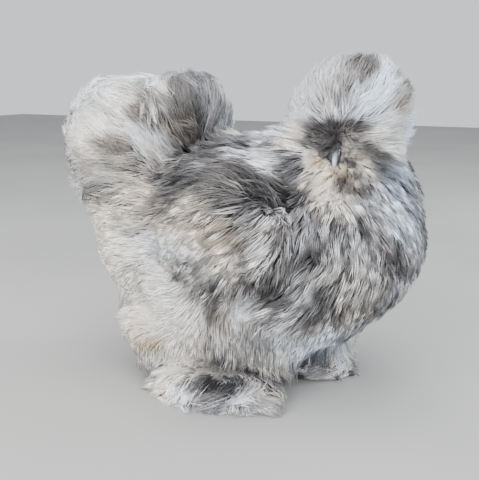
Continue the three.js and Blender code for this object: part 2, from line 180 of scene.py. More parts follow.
def skull(p):
    """Head with brow, cheeks and a ring of lid round each eye."""
    d = p - SKULL
    a, b, c = d @ HF, d @ HL, d @ HU
    q = np.stack([a, b, c], 1)
    dome = ell(q, ((0, 0, 0), (20.5, 13.6, 15.5), 0))
    snout = ell(q, ((10, 0, -2.4), (9.5, 7.6, 8.4), 0))
    cheek = smin(ell(q, ((3, 6.5, -5.5), (10, 7.5, 8), 0)), ell(q, ((3, -6.5, -5.5), (10, 7.5, 8), 0)), 4)
    d = smin(smin(dome, snout, 5), cheek, 5)
    d = d + 0.16 * np.sin(a * 2.9 + 1.3 * np.sin(c * 0.9)) * np.sin(c * 2.3 + b * 0.8)
    for m in (-1, 1):
        d = smin(d, ell(q, ((8.0, m * 8.9, 7.9), (6.0, 2.4, 1.9), 0)), 2.5)
        x, y, z = a - EYE_AT[0], b * m - EYE_AT[1], c - EYE_AT[2]
        e = np.sqrt(x * x + y * y + z * z)
        gape = (np.sqrt((x / 4.1) ** 2 + (z / 3.3) ** 2) - 1) * 3.3
        lid = np.maximum(np.maximum(np.abs(e - EYE_R - 0.65) - 0.6, -gape), -y)
        d = smin(d, lid, 0.9)
        d = np.maximum(d, EYE_R + 0.15 - e)
    return d


def flesh(p):
    """The skin without legs or face, for the lie of the coat."""
    d = None
    for n, masses in INNER.items():
        for m in masses:
            e = ell(p, m)
            d = e if d is None else smin(d, e, 16 if not n.startswith("boot") else 8)
    return smin(d, ell(p, (tuple(SKULL), (14, 19, 15), 0)), 6)


def inner(p):
    return smin(flesh(p), legs(p), 4)


TETRA = np.array([[1, 1, 1], [1, -1, -1], [-1, 1, -1], [-1, -1, 1]], float)


def grad(f, p, h=1.2):
    g = sum(f(p + e * h)[:, None] * e for e in TETRA)
    return g / (np.linalg.norm(g, axis=1, keepdims=True) + 1e-9)


def unit(v):
    return v / (np.linalg.norm(v, axis=-1, keepdims=True) + 1e-9)


# ------------------------------------------------------------- surface nets
def surface(f, lo, hi, h):
    """Quads on the zero level of f, from a grid of cells h across."""
    lo, hi = np.asarray(lo, float), np.asarray(hi, float)
    n = np.ceil((hi - lo) / h).astype(int) + 1
    ax = [lo[i] + h * np.arange(n[i]) for i in range(3)]
    g = np.stack(np.meshgrid(*ax, indexing="ij"), -1).reshape(-1, 3)
    v = np.concatenate([f(c) for c in np.array_split(g, max(1, len(g) // 200000))]).reshape(n)
    cell = np.zeros(n - 1, int)
    acc, cnt = np.zeros((*(n - 1), 3)), np.zeros(n - 1)
    corner = [(i, j, k) for i in (0, 1) for j in (0, 1) for k in (0, 1)]

    def part(o):
        return tuple(slice(o[d], n[d] - 1 + o[d]) for d in range(3))

    for c in corner:
        cell += v[part(c)] < 0
    for a in corner:
        for d in range(3):
            if a[d] == 0:
                b = tuple(a[k] + (k == d) for k in range(3))
                va, vb = v[part(a)], v[part(b)]
                cross = (va < 0) != (vb < 0)
                t = np.where(cross, va / np.where(cross, va - vb, 1), 0)
                for k in range(3):
                    acc[..., k] += np.where(cross, a[k] + (t if k == d else 0), 0)
                cnt += cross
    used = (cell > 0) & (cell < 8)
    idx = -np.ones(n - 1, int)
    idx[used] = np.arange(used.sum())
    where = np.argwhere(used)
    verts = lo + h * (where + acc[used] / cnt[used][:, None])
    quads = []
    for d in range(3):
        e1, e2 = (d + 1) % 3, (d + 2) % 3
        s0 = [slice(0, n[k]) for k in range(3)]
        s1 = list(s0)
        s0[d], s1[d] = slice(0, n[d] - 1), slice(1, n[d])
        va, vb = v[tuple(s0)], v[tuple(s1)]
        at = np.argwhere((va < 0) != (vb < 0))
        at = at[(at[:, e1] > 0) & (at[:, e2] > 0) & (at[:, e1] < n[e1] - 1) & (at[:, e2] < n[e2] - 1)]
        q = []
        for o1, o2 in ((0, 0), (-1, 0), (-1, -1), (0, -1)):
            c = at.copy()
            c[:, e1] += o1
            c[:, e2] += o2
            q.append(idx[c[:, 0], c[:, 1], c[:, 2]])
        q = np.stack(q, 1)
        flip = va[at[:, 0], at[:, 1], at[:, 2]] >= 0
        q[flip] = q[flip][:, ::-1]
        quads.append(q)
    quads = np.concatenate(quads)
    for _ in range(2):                     # carry the corners onto the surface
        verts = verts - grad(f, verts, h * 0.4) * np.clip(f(verts), -h * 0.5, h * 0.5)[:, None] * 0.8
    return verts, quads


# ------------------------------------------------------------------- meshes
def add_mesh(name, verts_row, faces, smooth=True):
    """faces: an array of triangles or of quads."""
    me = bpy.data.meshes.new(name)
    faces = np.asarray(faces, np.int32)
    k = faces.shape[1]
    me.vertices.add(len(verts_row))
    me.vertices.foreach_set("co", np.asarray(verts_row, np.float32).ravel())
    me.loops.add(faces.size)
    me.loops.foreach_set("vertex_index", faces.ravel())
    me.polygons.add(len(faces))
    me.polygons.foreach_set("loop_start", np.arange(0, faces.size, k, dtype=np.int32))
    me.polygons.foreach_set("use_smooth", np.full(len(faces), smooth))
    me.update(calc_edges=True)
    ob = bpy.data.objects.new(name, me)
    bpy.context.scene.collection.objects.link(ob)
    return ob


def paint(ob, rgb, name="tone"):
    at = ob.data.color_attributes.new(name, "FLOAT_COLOR", "POINT")
    c = np.ones((len(ob.data.vertices), 4), np.float32)
    c[:, :3] = rgb
    at.data.foreach_set("color", c.ravel())


# ----------------------------------------------------------------- markings
def noise3(p, scale, seed, n=18):
    r = np.random.default_rng(seed)
    k = r.normal(size=(n, 3)) / scale
    ph = r.uniform(0, 2 * math.pi, n)
    return np.sin(p @ k.T * 2.2 + ph).sum(1) / math.sqrt(n / 2)


# The plumage's markings, placed one by one on the bird: each is a soft band from
# one place to another, with its reach, its tone (0 black .. 1 white) and its
# warmth (-1 cold and bluish .. +1 buff).
MARKS = [
    # crest, white and grey over the brow
    ((58, -25, 318), (40, -5, 326), 10, 0.78, 0.00), ((31, -29, 297), (11, -13, 286), 11, 0.80, -0.10),
    ((71, -21, 324), (80, -25, 318), 5, 0.66, 0.05), ((39, -27, 308), (50, -38, 298), 5, 0.72, 0.00),
    ((54, -42, 288), (73, -41, 290), 6, 0.92, -0.09), ((73, -41, 290), (88, -36, 286), 5, 0.90, -0.15),
    # both bands on the next line, bluish white at the front of the crest: their cold is painted sky light
    ((100, -23, 302), (98, -30, 291), 10, 0.98, -0.65), ((100, -11, 315), (106, -10, 308), 8, 0.97, -0.55),
    ((86, -8, 327), (82, -29, 313), 5, 0.38, 0.15), ((71, -15, 327), (85, -18, 323), 7, 0.22, 0.10),
    ((68, -30, 313), (72, -39, 301), 3, 0.22, 0.05), ((86, -35, 296), (85, -37, 290), 3, 0.40, 0.00),
    ((59, -39, 300), (61, -40, 295), 3, 0.48, 0.00), ((50, -35, 303), (53, -38, 300), 3, 0.58, 0.00),
    ((111, -11, 294), (113, 15, 310), 7, 0.46, 0.20), ((103, -26, 279), (99, -30, 278), 4, 0.62, 0.00),
    # the first band on the next line, bluish at the front rim: its cold is painted sky light
    ((115, 16, 277), (120, 13, 254), 6, 0.84, -0.73), ((80, -36, 303), (84, -36, 295), 3, 0.80, -0.20),
    # dark ring round the face
    ((44, -41, 266), (60, -43, 265), 7, 0.13, 0.08), ((49, -42, 266), (58, -43, 256), 7, 0.14, 0.10),
    ((58, -45, 277), (62, -45, 271), 4, 0.19, 0.05), ((38, -39, 267), (45, -43, 256), 5, 0.23, 0.05),
    ((62, -43, 263), (67, -45, 255), 4, 0.12, 0.05), ((79, -41, 277), (92, -36, 275), 4, 0.16, 0.05),
    ((75, -43, 272), (78, -42, 266), 4, 0.38, 0.10), ((84, -38, 266), (89, -37, 263), 4, 0.46, 0.10),
    ((78, -42, 258), (82, -43, 253), 4, 0.55, 0.25), ((56, -46, 252), (64, -49, 245), 4, 0.24, 0.10),
    # the first band on the next line, dark beside the beak, is painted shade on the beak's shadowed side
    ((74, -46, 250), (81, -48, 242), 3, 0.16, 0.00), ((97, -34, 252), (109, -27, 243), 5, 0.13, 0.10),
    ((105, -36, 237), (109, -33, 231), 4, 0.24, -0.10), ((82, -48, 241), (83, -48, 238), 3, 0.16, 0.30),
    # cheeks and beard, buff under the beak
    ((14, -23, 270), (25, -35, 260), 8, 0.86, 0.28), ((21, -40, 252), (34, -41, 251), 6, 0.84, 0.25),
    ((44, -45, 249), (51, -48, 244), 4, 0.74, 0.50), ((51, -49, 244), (56, -50, 240), 4, 0.64, 0.80),
    ((43, -49, 237), (48, -51, 233), 5, 0.82, 0.40), ((70, -52, 234), (74, -52, 233), 4, 0.74, 0.65),
    ((77, -50, 232), (81, -50, 233), 3, 0.74, 0.45), ((61, -55, 228), (55, -57, 222), 6, 0.88, 0.42),
    ((52, -61, 218), (57, -65, 214), 5, 0.84, 0.30), ((77, -52, 226), (90, -51, 220), 5, 0.22, 0.22),
    ((96, -43, 233), (93, -45, 230), 5, 0.74, 0.25), ((74, -62, 214), (78, -70, 203), 7, 0.88, 0.35),
    ((62, -65, 213), (69, -70, 206), 5, 0.84, 0.30), ((91, -63, 205), (96, -64, 200), 5, 0.78, 0.15),
    ((45, -55, 225), (51, -60, 219), 5, 0.86, 0.35), ((88, -41, 249), (93, -41, 245), 4, 0.62, 0.40),
    ((98, -29, 263), (108, -14, 257), 7, 0.86, 0.10), ((99, -50, 214), (104, -53, 206), 6, 0.66, -0.20),
    # the bands on the next two lines, bluish down the front of the beard: their cold is painted sky light
    ((115, -25, 232), (113, -31, 226), 6, 0.62, -0.70), ((125, -14, 217), (127, -11, 212), 4, 0.50, -0.40),
    ((119, -16, 235), (127, -7, 222), 5, 0.86, -0.62), ((121, -24, 213), (126, -21, 204), 6, 0.80, -0.58),
    ((108, -50, 204), (116, -44, 198), 5, 0.84, -0.30),
    # neck, dark behind the cheek
    ((19, -47, 243), (16, -44, 249), 5, 0.13, -0.10), ((17, -53, 239), (27, -50, 237), 5, 0.14, -0.10),
    ((26, -55, 231), (31, -58, 226), 4, 0.36, 0.00), ((36, -60, 221), (43, -63, 215), 5, 0.14, 0.00),
    ((27, -69, 217), (39, -68, 212), 8, 0.14, 0.00), ((50, -68, 211), (50, -71, 204), 5, 0.17, 0.00),
    ((67, -77, 196), (75, -78, 190), 4, 0.16, 0.00), ((80, -78, 189), (94, -71, 187), 5, 0.17, -0.10),
    ((86, -61, 211), (90, -66, 202), 3, 0.60, 0.10), ((101, -66, 188), (103, -67, 182), 3, 0.36, 0.00),
    ((48, -67, 212), (58, -73, 203), 4, 0.19, 0.00), ((45, -74, 202), (50, -76, 198), 5, 0.40, -0.10),
    # the bands on the next two lines, bluish down the front of the neck: their cold is painted sky light
    ((115, -49, 195), (120, -47, 187), 7, 0.74, -0.40), ((131, -19, 188), (134, -21, 174), 6, 0.78, -0.52),
    ((127, -13, 210), (129, -12, 199), 5, 0.62, -0.60), ((122, -30, 202), (126, -28, 196), 5, 0.72, -0.50),
    ((111, -54, 194), (113, -54, 189), 3, 0.62, 0.00),
    # back
    ((-43, -55, 244), (-19, -53, 247), 7, 0.80, -0.20), ((-7, -56, 243), (8, -57, 238), 8, 0.87, -0.15),
    ((-31, 2, 267), (-3, -28, 261), 6, 0.74, -0.30), ((13, -65, 230), (10, -68, 228), 4, 0.80, 0.20),
    ((-64, -61, 233), (-56, -66, 231), 4, 0.42, -0.10), ((-28, -69, 235), (-18, -72, 230), 5, 0.24, -0.05),
    ((-58, -68, 229), (-40, -70, 232), 6, 0.38, 0.00),
    # wing, charcoal above and cream below
    ((0, -73, 226), (-10, -74, 227), 6, 0.06, -0.15), ((-22, -80, 221), (-1, -78, 220), 6, 0.11, -0.05),
    ((14, -75, 218), (18, -104, 209), 9, 0.03, -0.10), ((32, -104, 203), (42, -98, 203), 6, 0.69, -0.10),
    ((-46, -80, 219), (-18, -100, 221), 6, 0.21, 0.00), ((-95, -69, 200), (-59, -104, 203), 6, 0.17, 0.00),
    ((-100, -73, 190), (-68, -102, 194), 5, 0.37, 0.10), ((-13, -103, 219), (-2, -101, 219), 6, 0.15, 0.00),
    ((13, -107, 207), (24, -107, 203), 5, 0.21, 0.00), ((-22, -108, 210), (-1, -106, 211), 6, 0.24, 0.00),
    ((-12, -112, 197), (6, -113, 187), 6, 0.24, 0.00), ((-29, -110, 203), (-20, -112, 197), 4, 0.43, 0.10),
    ((9, -112, 190), (15, -112, 184), 3, 0.43, 0.05), ((-56, -103, 208), (-50, -108, 197), 3, 0.78, 0.35),
    ((-62, -79, 214), (-30, -108, 207), 6, 0.19, 0.00), ((-91, -64, 211), (-72, -78, 209), 5, 0.21, 0.00),
    ((-39, -110, 197), (-31, -111, 195), 4, 0.43, 0.50), ((-67, -105, 176), (-52, -109, 178), 4, 0.83, 0.40),
    ((-43, -110, 171), (-27, -111, 163), 5, 0.80, 0.22), ((-36, -112, 181), (-21, -113, 177), 5, 0.79, 0.35),
    ((-35, -111, 171), (-20, -112, 166), 6, 0.85, 0.25), ((-22, -112, 188), (-11, -113, 184), 5, 0.59, 0.45),
    ((-11, -113, 176), (-1, -114, 183), 5, 0.67, 0.50), ((5, -112, 164), (16, -111, 187), 5, 0.53, 0.15),
    ((27, -110, 181), (23, -111, 173), 4, 0.71, 0.00), ((34, -109, 175), (37, -107, 164), 4, 0.81, -0.05),
    ((21, -110, 195), (26, -110, 187), 5, 0.85, 0.10), ((22, -104, 208), (43, -97, 201), 7, 0.67, -0.05),
    ((12, -110, 198), (19, -110, 193), 5, 0.63, 0.00), ((36, -107, 161), (27, -106, 151), 4, 0.83, -0.10),
    ((39, -106, 190), (47, -105, 172), 5, 0.14, -0.05), ((49, -104, 181), (49, -101, 157), 6, 0.06, -0.05),
    ((40, -104, 155), (31, -102, 146), 4, 0.08, -0.05), ((-21, -111, 159), (-11, -107, 148), 6, 0.85, 0.30),
    ((-11, -95, 136), (4, -88, 135), 4, 0.55, 0.20), ((-10, -111, 196), (0, -109, 207), 3, 0.55, 0.00),
    # breast
    ((55, -99, 187), (54, -101, 181), 5, 0.47, -0.10), ((56, -82, 182), (59, -98, 175), 4, 0.81, -0.30),
    ((76, -83, 171), (53, -83, 152), 4, 0.12, -0.10), ((60, -83, 179), (76, -81, 178), 4, 0.67, -0.10),
    ((83, -78, 180), (91, -72, 189), 5, 0.18, -0.15), ((88, -78, 173), (80, -82, 160), 7, 0.69, 0.00),
    ((103, -69, 172), (93, -76, 156), 7, 0.71, 0.10), ((87, -77, 151), (68, -82, 143), 6, 0.77, 0.10),
    ((113, -58, 184), (118, -55, 174), 3, 0.41, 0.00), ((126, -42, 165), (123, -44, 150), 4, 0.17, 0.00),
    # the first band on the next line, bluish at the front of the breast: its cold is painted sky light
    ((124, -43, 180), (128, -38, 172), 4, 0.75, -0.50), ((117, -56, 162), (118, -53, 152), 3, 0.22, 0.30),
    ((101, -69, 182), (102, -68, 177), 3, 0.43, 0.00), ((104, -59, 196), (106, -61, 190), 4, 0.47, 0.00),
    ((106, -64, 142), (101, -66, 137), 3, 0.45, 0.20), ((114, -57, 145), (111, -55, 135), 5, 0.73, 0.10),
    ((67, -77, 130), (77, -76, 134), 5, 0.19, 0.00), ((72, -56, 103), (76, -51, 100), 4, 0.21, 0.20),
    ((44, -66, 96), (49, -64, 95), 5, 0.24, 0.30), ((92, -64, 122), (84, -62, 115), 6, 0.59, 0.10),
    ((110, -35, 113), (106, -34, 109), 5, 0.63, -0.30), ((98, -53, 116), (98, -38, 104), 5, 0.37, 0.10),
    ((55, -71, 118), (59, -65, 110), 5, 0.22, 0.00), ((49, -79, 137), (45, -70, 113), 5, 0.79, -0.10),
    ((16, -80, 127), (26, -74, 112), 8, 0.15, 0.05), ((11, -77, 109), (26, -73, 96), 6, 0.18, 0.05),
    ((67, -83, 152), (78, -80, 149), 5, 0.73, 0.00), ((88, -75, 144), (107, -61, 138), 5, 0.77, 0.10),
    ((64, -82, 143), (74, -78, 138), 4, 0.25, 0.00), ((33, -72, 97), (30, -70, 86), 6, 0.65, -0.10),
    ((124, -30, 132), (118, -26, 119), 5, 0.59, -0.20),
    # belly and far leg
    # the first three bands, bluish white over the belly and far leg in the shade under the body: painted sky light,
    # raised in tone and made cold
    ((56, -44, 73), (33, 32, 29), 9, 0.97, -0.60), ((40, -53, 67), (14, 22, 23), 8, 0.90, -0.40),
    ((44, 41, 34), (50, 34, 23), 7, 0.97, -0.50), ((87, -22, 87), (81, -29, 84), 7, 0.72, -0.30),
    ((38, 25, 24), (40, 24, 21), 4, 0.60, 0.60),
    # tail, white along the back edge
    ((-220, -32, 293), (-202, -17, 305), 8, 0.96, -0.25), ((-195, -11, 309), (-169, 6, 311), 9, 0.97, -0.20),
    ((-234, -45, 258), (-182, -63, 266), 5, 0.97, 0.05), ((-212, -46, 278), (-186, -53, 283), 6, 0.86, 0.00),
    ((-144, -43, 282), (-118, -59, 276), 5, 0.22, 0.30), ((-147, -27, 294), (-107, -53, 291), 4, 0.48, 0.00),
    ((-158, -11, 304), (-109, -42, 304), 6, 0.94, -0.10), ((-105, -61, 277), (-91, -58, 265), 8, 0.16, 0.20),
    ((-137, -47, 273), (-104, -62, 270), 7, 0.38, 0.15), ((-142, -35, 287), (-110, -59, 279), 6, 0.46, 0.15),
    ((-107, -63, 236), (-96, -59, 234), 5, 0.80, 0.10), ((-100, -34, 307), (-86, -43, 285), 8, 0.24, 0.05),
    ((-69, 2, 265), (-68, 20, 256), 5, 0.38, -0.20), ((-99, -61, 238), (-84, -52, 231), 6, 0.36, 0.10),
    ((-85, -46, 277), (-81, -49, 239), 7, 0.14, 0.30), ((-80, -31, 285), (-74, -31, 267), 6, 0.20, 0.10),
    ((-96, -18, 313), (-80, -3, 299), 8, 0.44, -0.20), ((-82, 34, 301), (-77, 40, 278), 6, 0.62, -0.10),
    ((-71, 3, 275), (-69, 14, 260), 6, 0.42, -0.40), ((-70, -26, 253), (-34, -48, 249), 7, 0.22, -0.10),
    ((-83, -50, 245), (-66, -53, 239), 6, 0.42, -0.10), ((-71, -43, 243), (-32, -60, 241), 7, 0.20, -0.10),
    ((-109, -62, 230), (-107, -59, 223), 5, 0.70, 0.10), ((-76, -38, 252), (-65, -43, 245), 5, 0.14, 0.00),
    ((-137, -55, 253), (-96, -61, 259), 7, 0.88, -0.25), ((-162, -60, 270), (-147, -57, 265), 6, 0.88, 0.10),
    ((-170, -69, 251), (-155, -64, 245), 6, 0.42, 0.30), ((-166, -67, 225), (-143, -59, 231), 7, 0.52, 0.20),
    ((-199, -67, 242), (-189, -69, 234), 6, 0.88, 0.20), ((-239, -44, 192), (-216, -48, 191), 5, 0.88, 0.10),
    ((-213, -45, 185), (-177, -59, 197), 5, 0.36, 0.30), ((-170, -62, 210), (-139, -55, 213), 8, 0.62, 0.20),
    ((-97, -57, 224), (-67, -71, 222), 9, 0.07, -0.05), ((-138, -55, 224), (-129, -51, 221), 6, 0.70, 0.10),
    ((-107, -65, 201), (-90, -66, 210), 6, 0.20, 0.10), ((-127, -62, 204), (-152, -66, 189), 10, 0.74, 0.35),
    ((-112, -76, 181), (-98, -73, 193), 6, 0.42, 0.35), ((-194, -64, 219), (-185, -63, 213), 6, 0.72, 0.25),
    ((-76, -23, 282), (-72, -23, 267), 5, 0.52, -0.10), ((-96, -61, 246), (-94, -59, 238), 5, 0.62, 0.00),
    ((-106, -59, 281), (-96, -60, 270), 5, 0.46, 0.10),
    # rear and thigh, pale
    ((-203, -44, 173), (-156, -72, 159), 10, 0.95, 0.35), ((-145, -73, 172), (-117, -80, 168), 7, 0.62, 0.20),
    ((-188, -49, 125), (-137, -79, 154), 10, 0.96, 0.22), ((-119, -80, 156), (-62, -104, 162), 11, 0.92, -0.15),
    ((-157, -48, 82), (-170, -47, 98), 15, 0.94, 0.15), ((-140, -75, 125), (-133, -76, 125), 4, 0.64, 0.10),
    ((-66, -99, 152), (-42, -105, 153), 6, 0.68, -0.05), ((-68, -91, 139), (-43, -97, 140), 6, 0.74, 0.00),
    ((-66, -92, 130), (-62, -94, 129), 5, 0.54, 0.15), ((-44, -95, 123), (-45, -96, 114), 6, 0.38, 0.30),
    ((-34, -95, 113), (-28, -95, 108), 6, 0.22, 0.20), ((-26, -94, 96), (-26, -91, 86), 6, 0.62, 0.25),
    ((-33, -100, 142), (-26, -98, 138), 7, 0.60, -0.10), ((-10, -87, 109), (-8, -85, 100), 7, 0.92, -0.10),
    ((-111, -78, 118), (-93, -88, 103), 12, 0.95, 0.08), ((-76, -94, 95), (-59, -96, 92), 10, 0.96, 0.12),
    ((-118, -70, 44), (-107, -76, 52), 6, 0.64, 0.80), ((-128, -76, 60), (-118, -77, 55), 7, 0.88, 0.40),
    ((-155, -68, 48), (-147, -68, 43), 5, 0.88, 0.15), ((-146, -76, 33), (-139, -73, 31), 5, 0.56, 0.00),
    ((-68, -86, 67), (-64, -81, 59), 8, 0.94, 0.20), ((-43, -83, 62), (-44, -74, 52), 6, 0.68, 0.20),
    ((-24, -86, 74), (-28, -75, 58), 6, 0.84, 0.05), ((-10, -79, 74), (-14, -65, 57), 6, 0.72, 0.00),
    ((0, -80, 90), (2, -76, 79), 5, 0.54, 0.00), ((11, -72, 76), (9, -62, 59), 6, 0.64, -0.10),
    ((26, -69, 79), (25, -62, 67), 6, 0.74, -0.30), ((-59, -65, 38), (-52, -67, 38), 4, 0.72, 0.30),
    ((2, -80, 97), (-2, -83, 105), 6, 0.92, -0.10), ((-20, -90, 123), (-11, -88, 116), 6, 0.90, 0.10),
    ((-6, -89, 131), (-1, -86, 130), 3, 0.42, 0.00), ((-56, -108, 182), (-97, -79, 174), 5, 0.88, 0.30),
    # foot feathering
    ((-98, -89, 27), (-68, -86, 32), 6, 0.88, 0.25), ((-68, -102, 23), (-58, -105, 20), 9, 0.94, 0.00),
    ((-47, -93, 30), (-16, -86, 29), 9, 0.03, 0.00), ((-42, -101, 24), (-18, -94, 25), 7, 0.07, 0.00),
    ((-56, -104, 21), (-45, -104, 19), 6, 0.95, 0.00), ((-24, -91, 29), (-20, -90, 28), 4, 0.24, 0.00),
    ((-26, -99, 22), (-20, -98, 22), 4, 0.60, -0.10), ((-1, -73, 29), (8, -69, 27), 6, 0.90, 0.35),
    ((16, -72, 22), (23, -54, 13), 4, 0.88, 0.55), ((-6, -52, 32), (17, -35, 24), 5, 0.23, 0.00),
    ((-5, -93, 19), (-3, -93, 15), 4, 0.92, -0.50), ((-23, -101, 14), (-28, -92, 0), 4, 0.76, -0.40),
    ((-59, -99, 5), (-56, -97, -1), 6, 0.84, -0.10), ((8, -84, 17), (11, -80, 12), 4, 0.74, 0.00),
]
# what lies between them, per mass: tone, warmth, how strongly the locks differ
BASE = {"trunk": (0.66, 0.04, 0.09), "neck": (0.54, -0.05, 0.11), "crest": (0.86, -0.10, 0.05), "beard": (0.78, 0.1, 0.06),
        "tail": (0.76, 0.08, 0.07), "cushion": (0.48, 0.0, 0.08), "wing_right": (0.54, 0.16, 0.13), "wing_left": (0.54, 0.16, 0.13),
        "thigh_right": (0.86, 0.08, 0.02), "thigh_left": (0.82, 0.02, 0.03), "boot_right": (0.80, 0.1, 0.10), "boot_left": (0.78, 0.0, 0.10)}


def marking(p, lab):
    """Tone and warmth of the coat at points on or under its surface."""
    for _ in range(2):
        p = p - grad(outer, p, 2.0) * np.clip(outer(p) + 4, -40, 12)[:, None]
    q = p.copy()
    shy = np.clip((p[:, 1] - 15) / 40, 0, 1)      # the far side repeats the near one, loosely
    far = (p[:, 1] > 15) & ~np.isin(lab, [NAMES.index(n) for n in ("crest", "beard", "thigh_left", "boot_left")])
    q[far, 1] = 15 - 1.3 * (p[far, 1] - 15)
    q[:, 0] += np.where(far, shy * 16 * noise3(p, 60, 31), 0) + 3.0 * noise3(p, 13, 33)
    q[:, 2] += np.where(far, shy * 16 * noise3(p, 60, 32), 0) + 3.0 * noise3(p, 13, 34)
    base = np.array([BASE[n][:2] for n in NAMES])[lab]
    # the fluff behind and under the tail is nearly white
    pale = np.clip((-65 - p[:, 0]) / 40, 0, 1) * np.clip((215 - p[:, 2]) / 30, 0, 1)
    w = np.full(len(p), 0.2)
    tone, warm = (base[:, 0] + (0.90 - base[:, 0]) * pale) * w, (base[:, 1] + (0.14 - base[:, 1]) * pale) * w
    tone += 0.2 * 0.13 * noise3(p, 34, 35) * (1 - 0.8 * pale)
    for a, b, r, t, h in MARKS:
        a, b = np.array(a, float), np.array(b, float)
        ab = b - a
        u = np.clip((q - a) @ ab / max(ab @ ab, 1e-6), 0, 1)
        d2 = ((q - a - u[:, None] * ab) ** 2).sum(1)
        g = 2.6 * np.exp(-d2 / (2 * (r * 0.8) ** 2))
        tone += g * t
        warm += g * h
        w += g
    return tone / w, warm / w


BLACK = np.array([0.009, 0.009, 0.011])
MID = np.array([0.205, 0.200, 0.208])
PALE = np.array([0.955, 0.960, 0.975])


def shade(tone, warm):
    t = np.clip(tone, 0, 1)[..., None]
    c = np.where(t < 0.5, BLACK + (MID - BLACK) * (t / 0.5) ** 1.25, MID + (PALE - MID) * (np.maximum(t - 0.5, 0) / 0.5) ** 1.1)
    h = np.clip(warm, -1, 1)[..., None]
    tan = np.array([1.20, 0.94, 0.52])
    # cold is bluish; at the front rim, the belly and the far leg it is painted sky light
    cold = np.array([0.74, 0.94, 1.20])
    return np.clip(c * np.where(h > 0, 1 + (tan - 1) * h, 1 + (cold - 1) * -h), 0, 0.98)


# --------------------------------------------------------------------- skin
sv, sq = surface(inner, (-262, -124, -4), (144, 124, 344), 3.0)
sv[:, 2] = np.maximum(sv[:, 2], 0.0)
slab = labels(sv)
hv, hq = surface(skull, SKULL - 26, SKULL + 26, 0.8)
skin = add_mesh("skin", to_row(np.concatenate([sv, hv])), np.concatenate([sq, hq + len(sv)]))
t0, w0 = marking(sv, slab)
SLATE = np.array([0.050, 0.046, 0.060])
bare = (np.clip(1 - (legs(sv) - 0.5) / 3, 0, 1) * (sv[:, 2] < 40))[:, None]
# the skin takes the coat's markings, darker as painted shade down among the feathers; bare legs and face skin are slate
paint(skin, np.concatenate([shade(t0 * 0.9, w0) * 0.8 * (1 - bare) + SLATE * bare, np.tile(SLATE, (len(hv), 1))]))

# --------------------------------------------------------------------- coat
FACE = np.array([61.0, -38.0, 257.0])      # hair of the head fans out from here
AXES = np.stack([HF, HL, HU], 1)
# per mass: strands of three lengths and of two, mm long, rise, half-width,
# lock and group spacing, gathering of the tips, disorder, how far tips stand proud
REGION = {
    "crest": (11500, 6500, 35, 1.0, 0.43, 4.2, 12, 0.60, 0.11, 11.0),
    "beard": (6800, 4200, 25, 0.7, 0.42, 4.0, 10, 0.55, 0.12, 3.0),
    "neck": (10500, 5000, 35, 0.4, 0.50, 4.6, 13, 0.74, 0.10, 3.0),
    "trunk": (19000, 9000, 39, 0.38, 0.53, 5.2, 15, 0.70, 0.10, 3.0),
    "tail": (12500, 4500, 54, 1.1, 0.50, 5.4, 14, 0.66, 0.15, 15.0),
    "cushion": (6000, 2600, 42, 0.9, 0.52, 4.8, 13, 0.50, 0.15, 4.0),
    "wing_right": (6200, 2200, 42, 0.30, 0.46, 4.4, 13, 0.74, 0.10, 4.5),
    "wing_left": (4800, 1800, 40, 0.25, 0.48, 4.6, 13, 0.74, 0.10, 3.5),
    "thigh_right": (7200, 5400, 37, 0.7, 0.42, 4.6, 14, 0.45, 0.08, 7.0),
    "thigh_left": (4800, 2600, 34, 0.6, 0.42, 5.0, 15, 0.35, 0.08, 4.0),
    "boot_right": (4600, 700, 54, 0.6, 0.46, 10.0, 24, 0.93, 0.26, 17.0),
    "boot_left": (3600, 700, 46, 0.6, 0.46, 9.5, 22, 0.92, 0.22, 13.0),
}


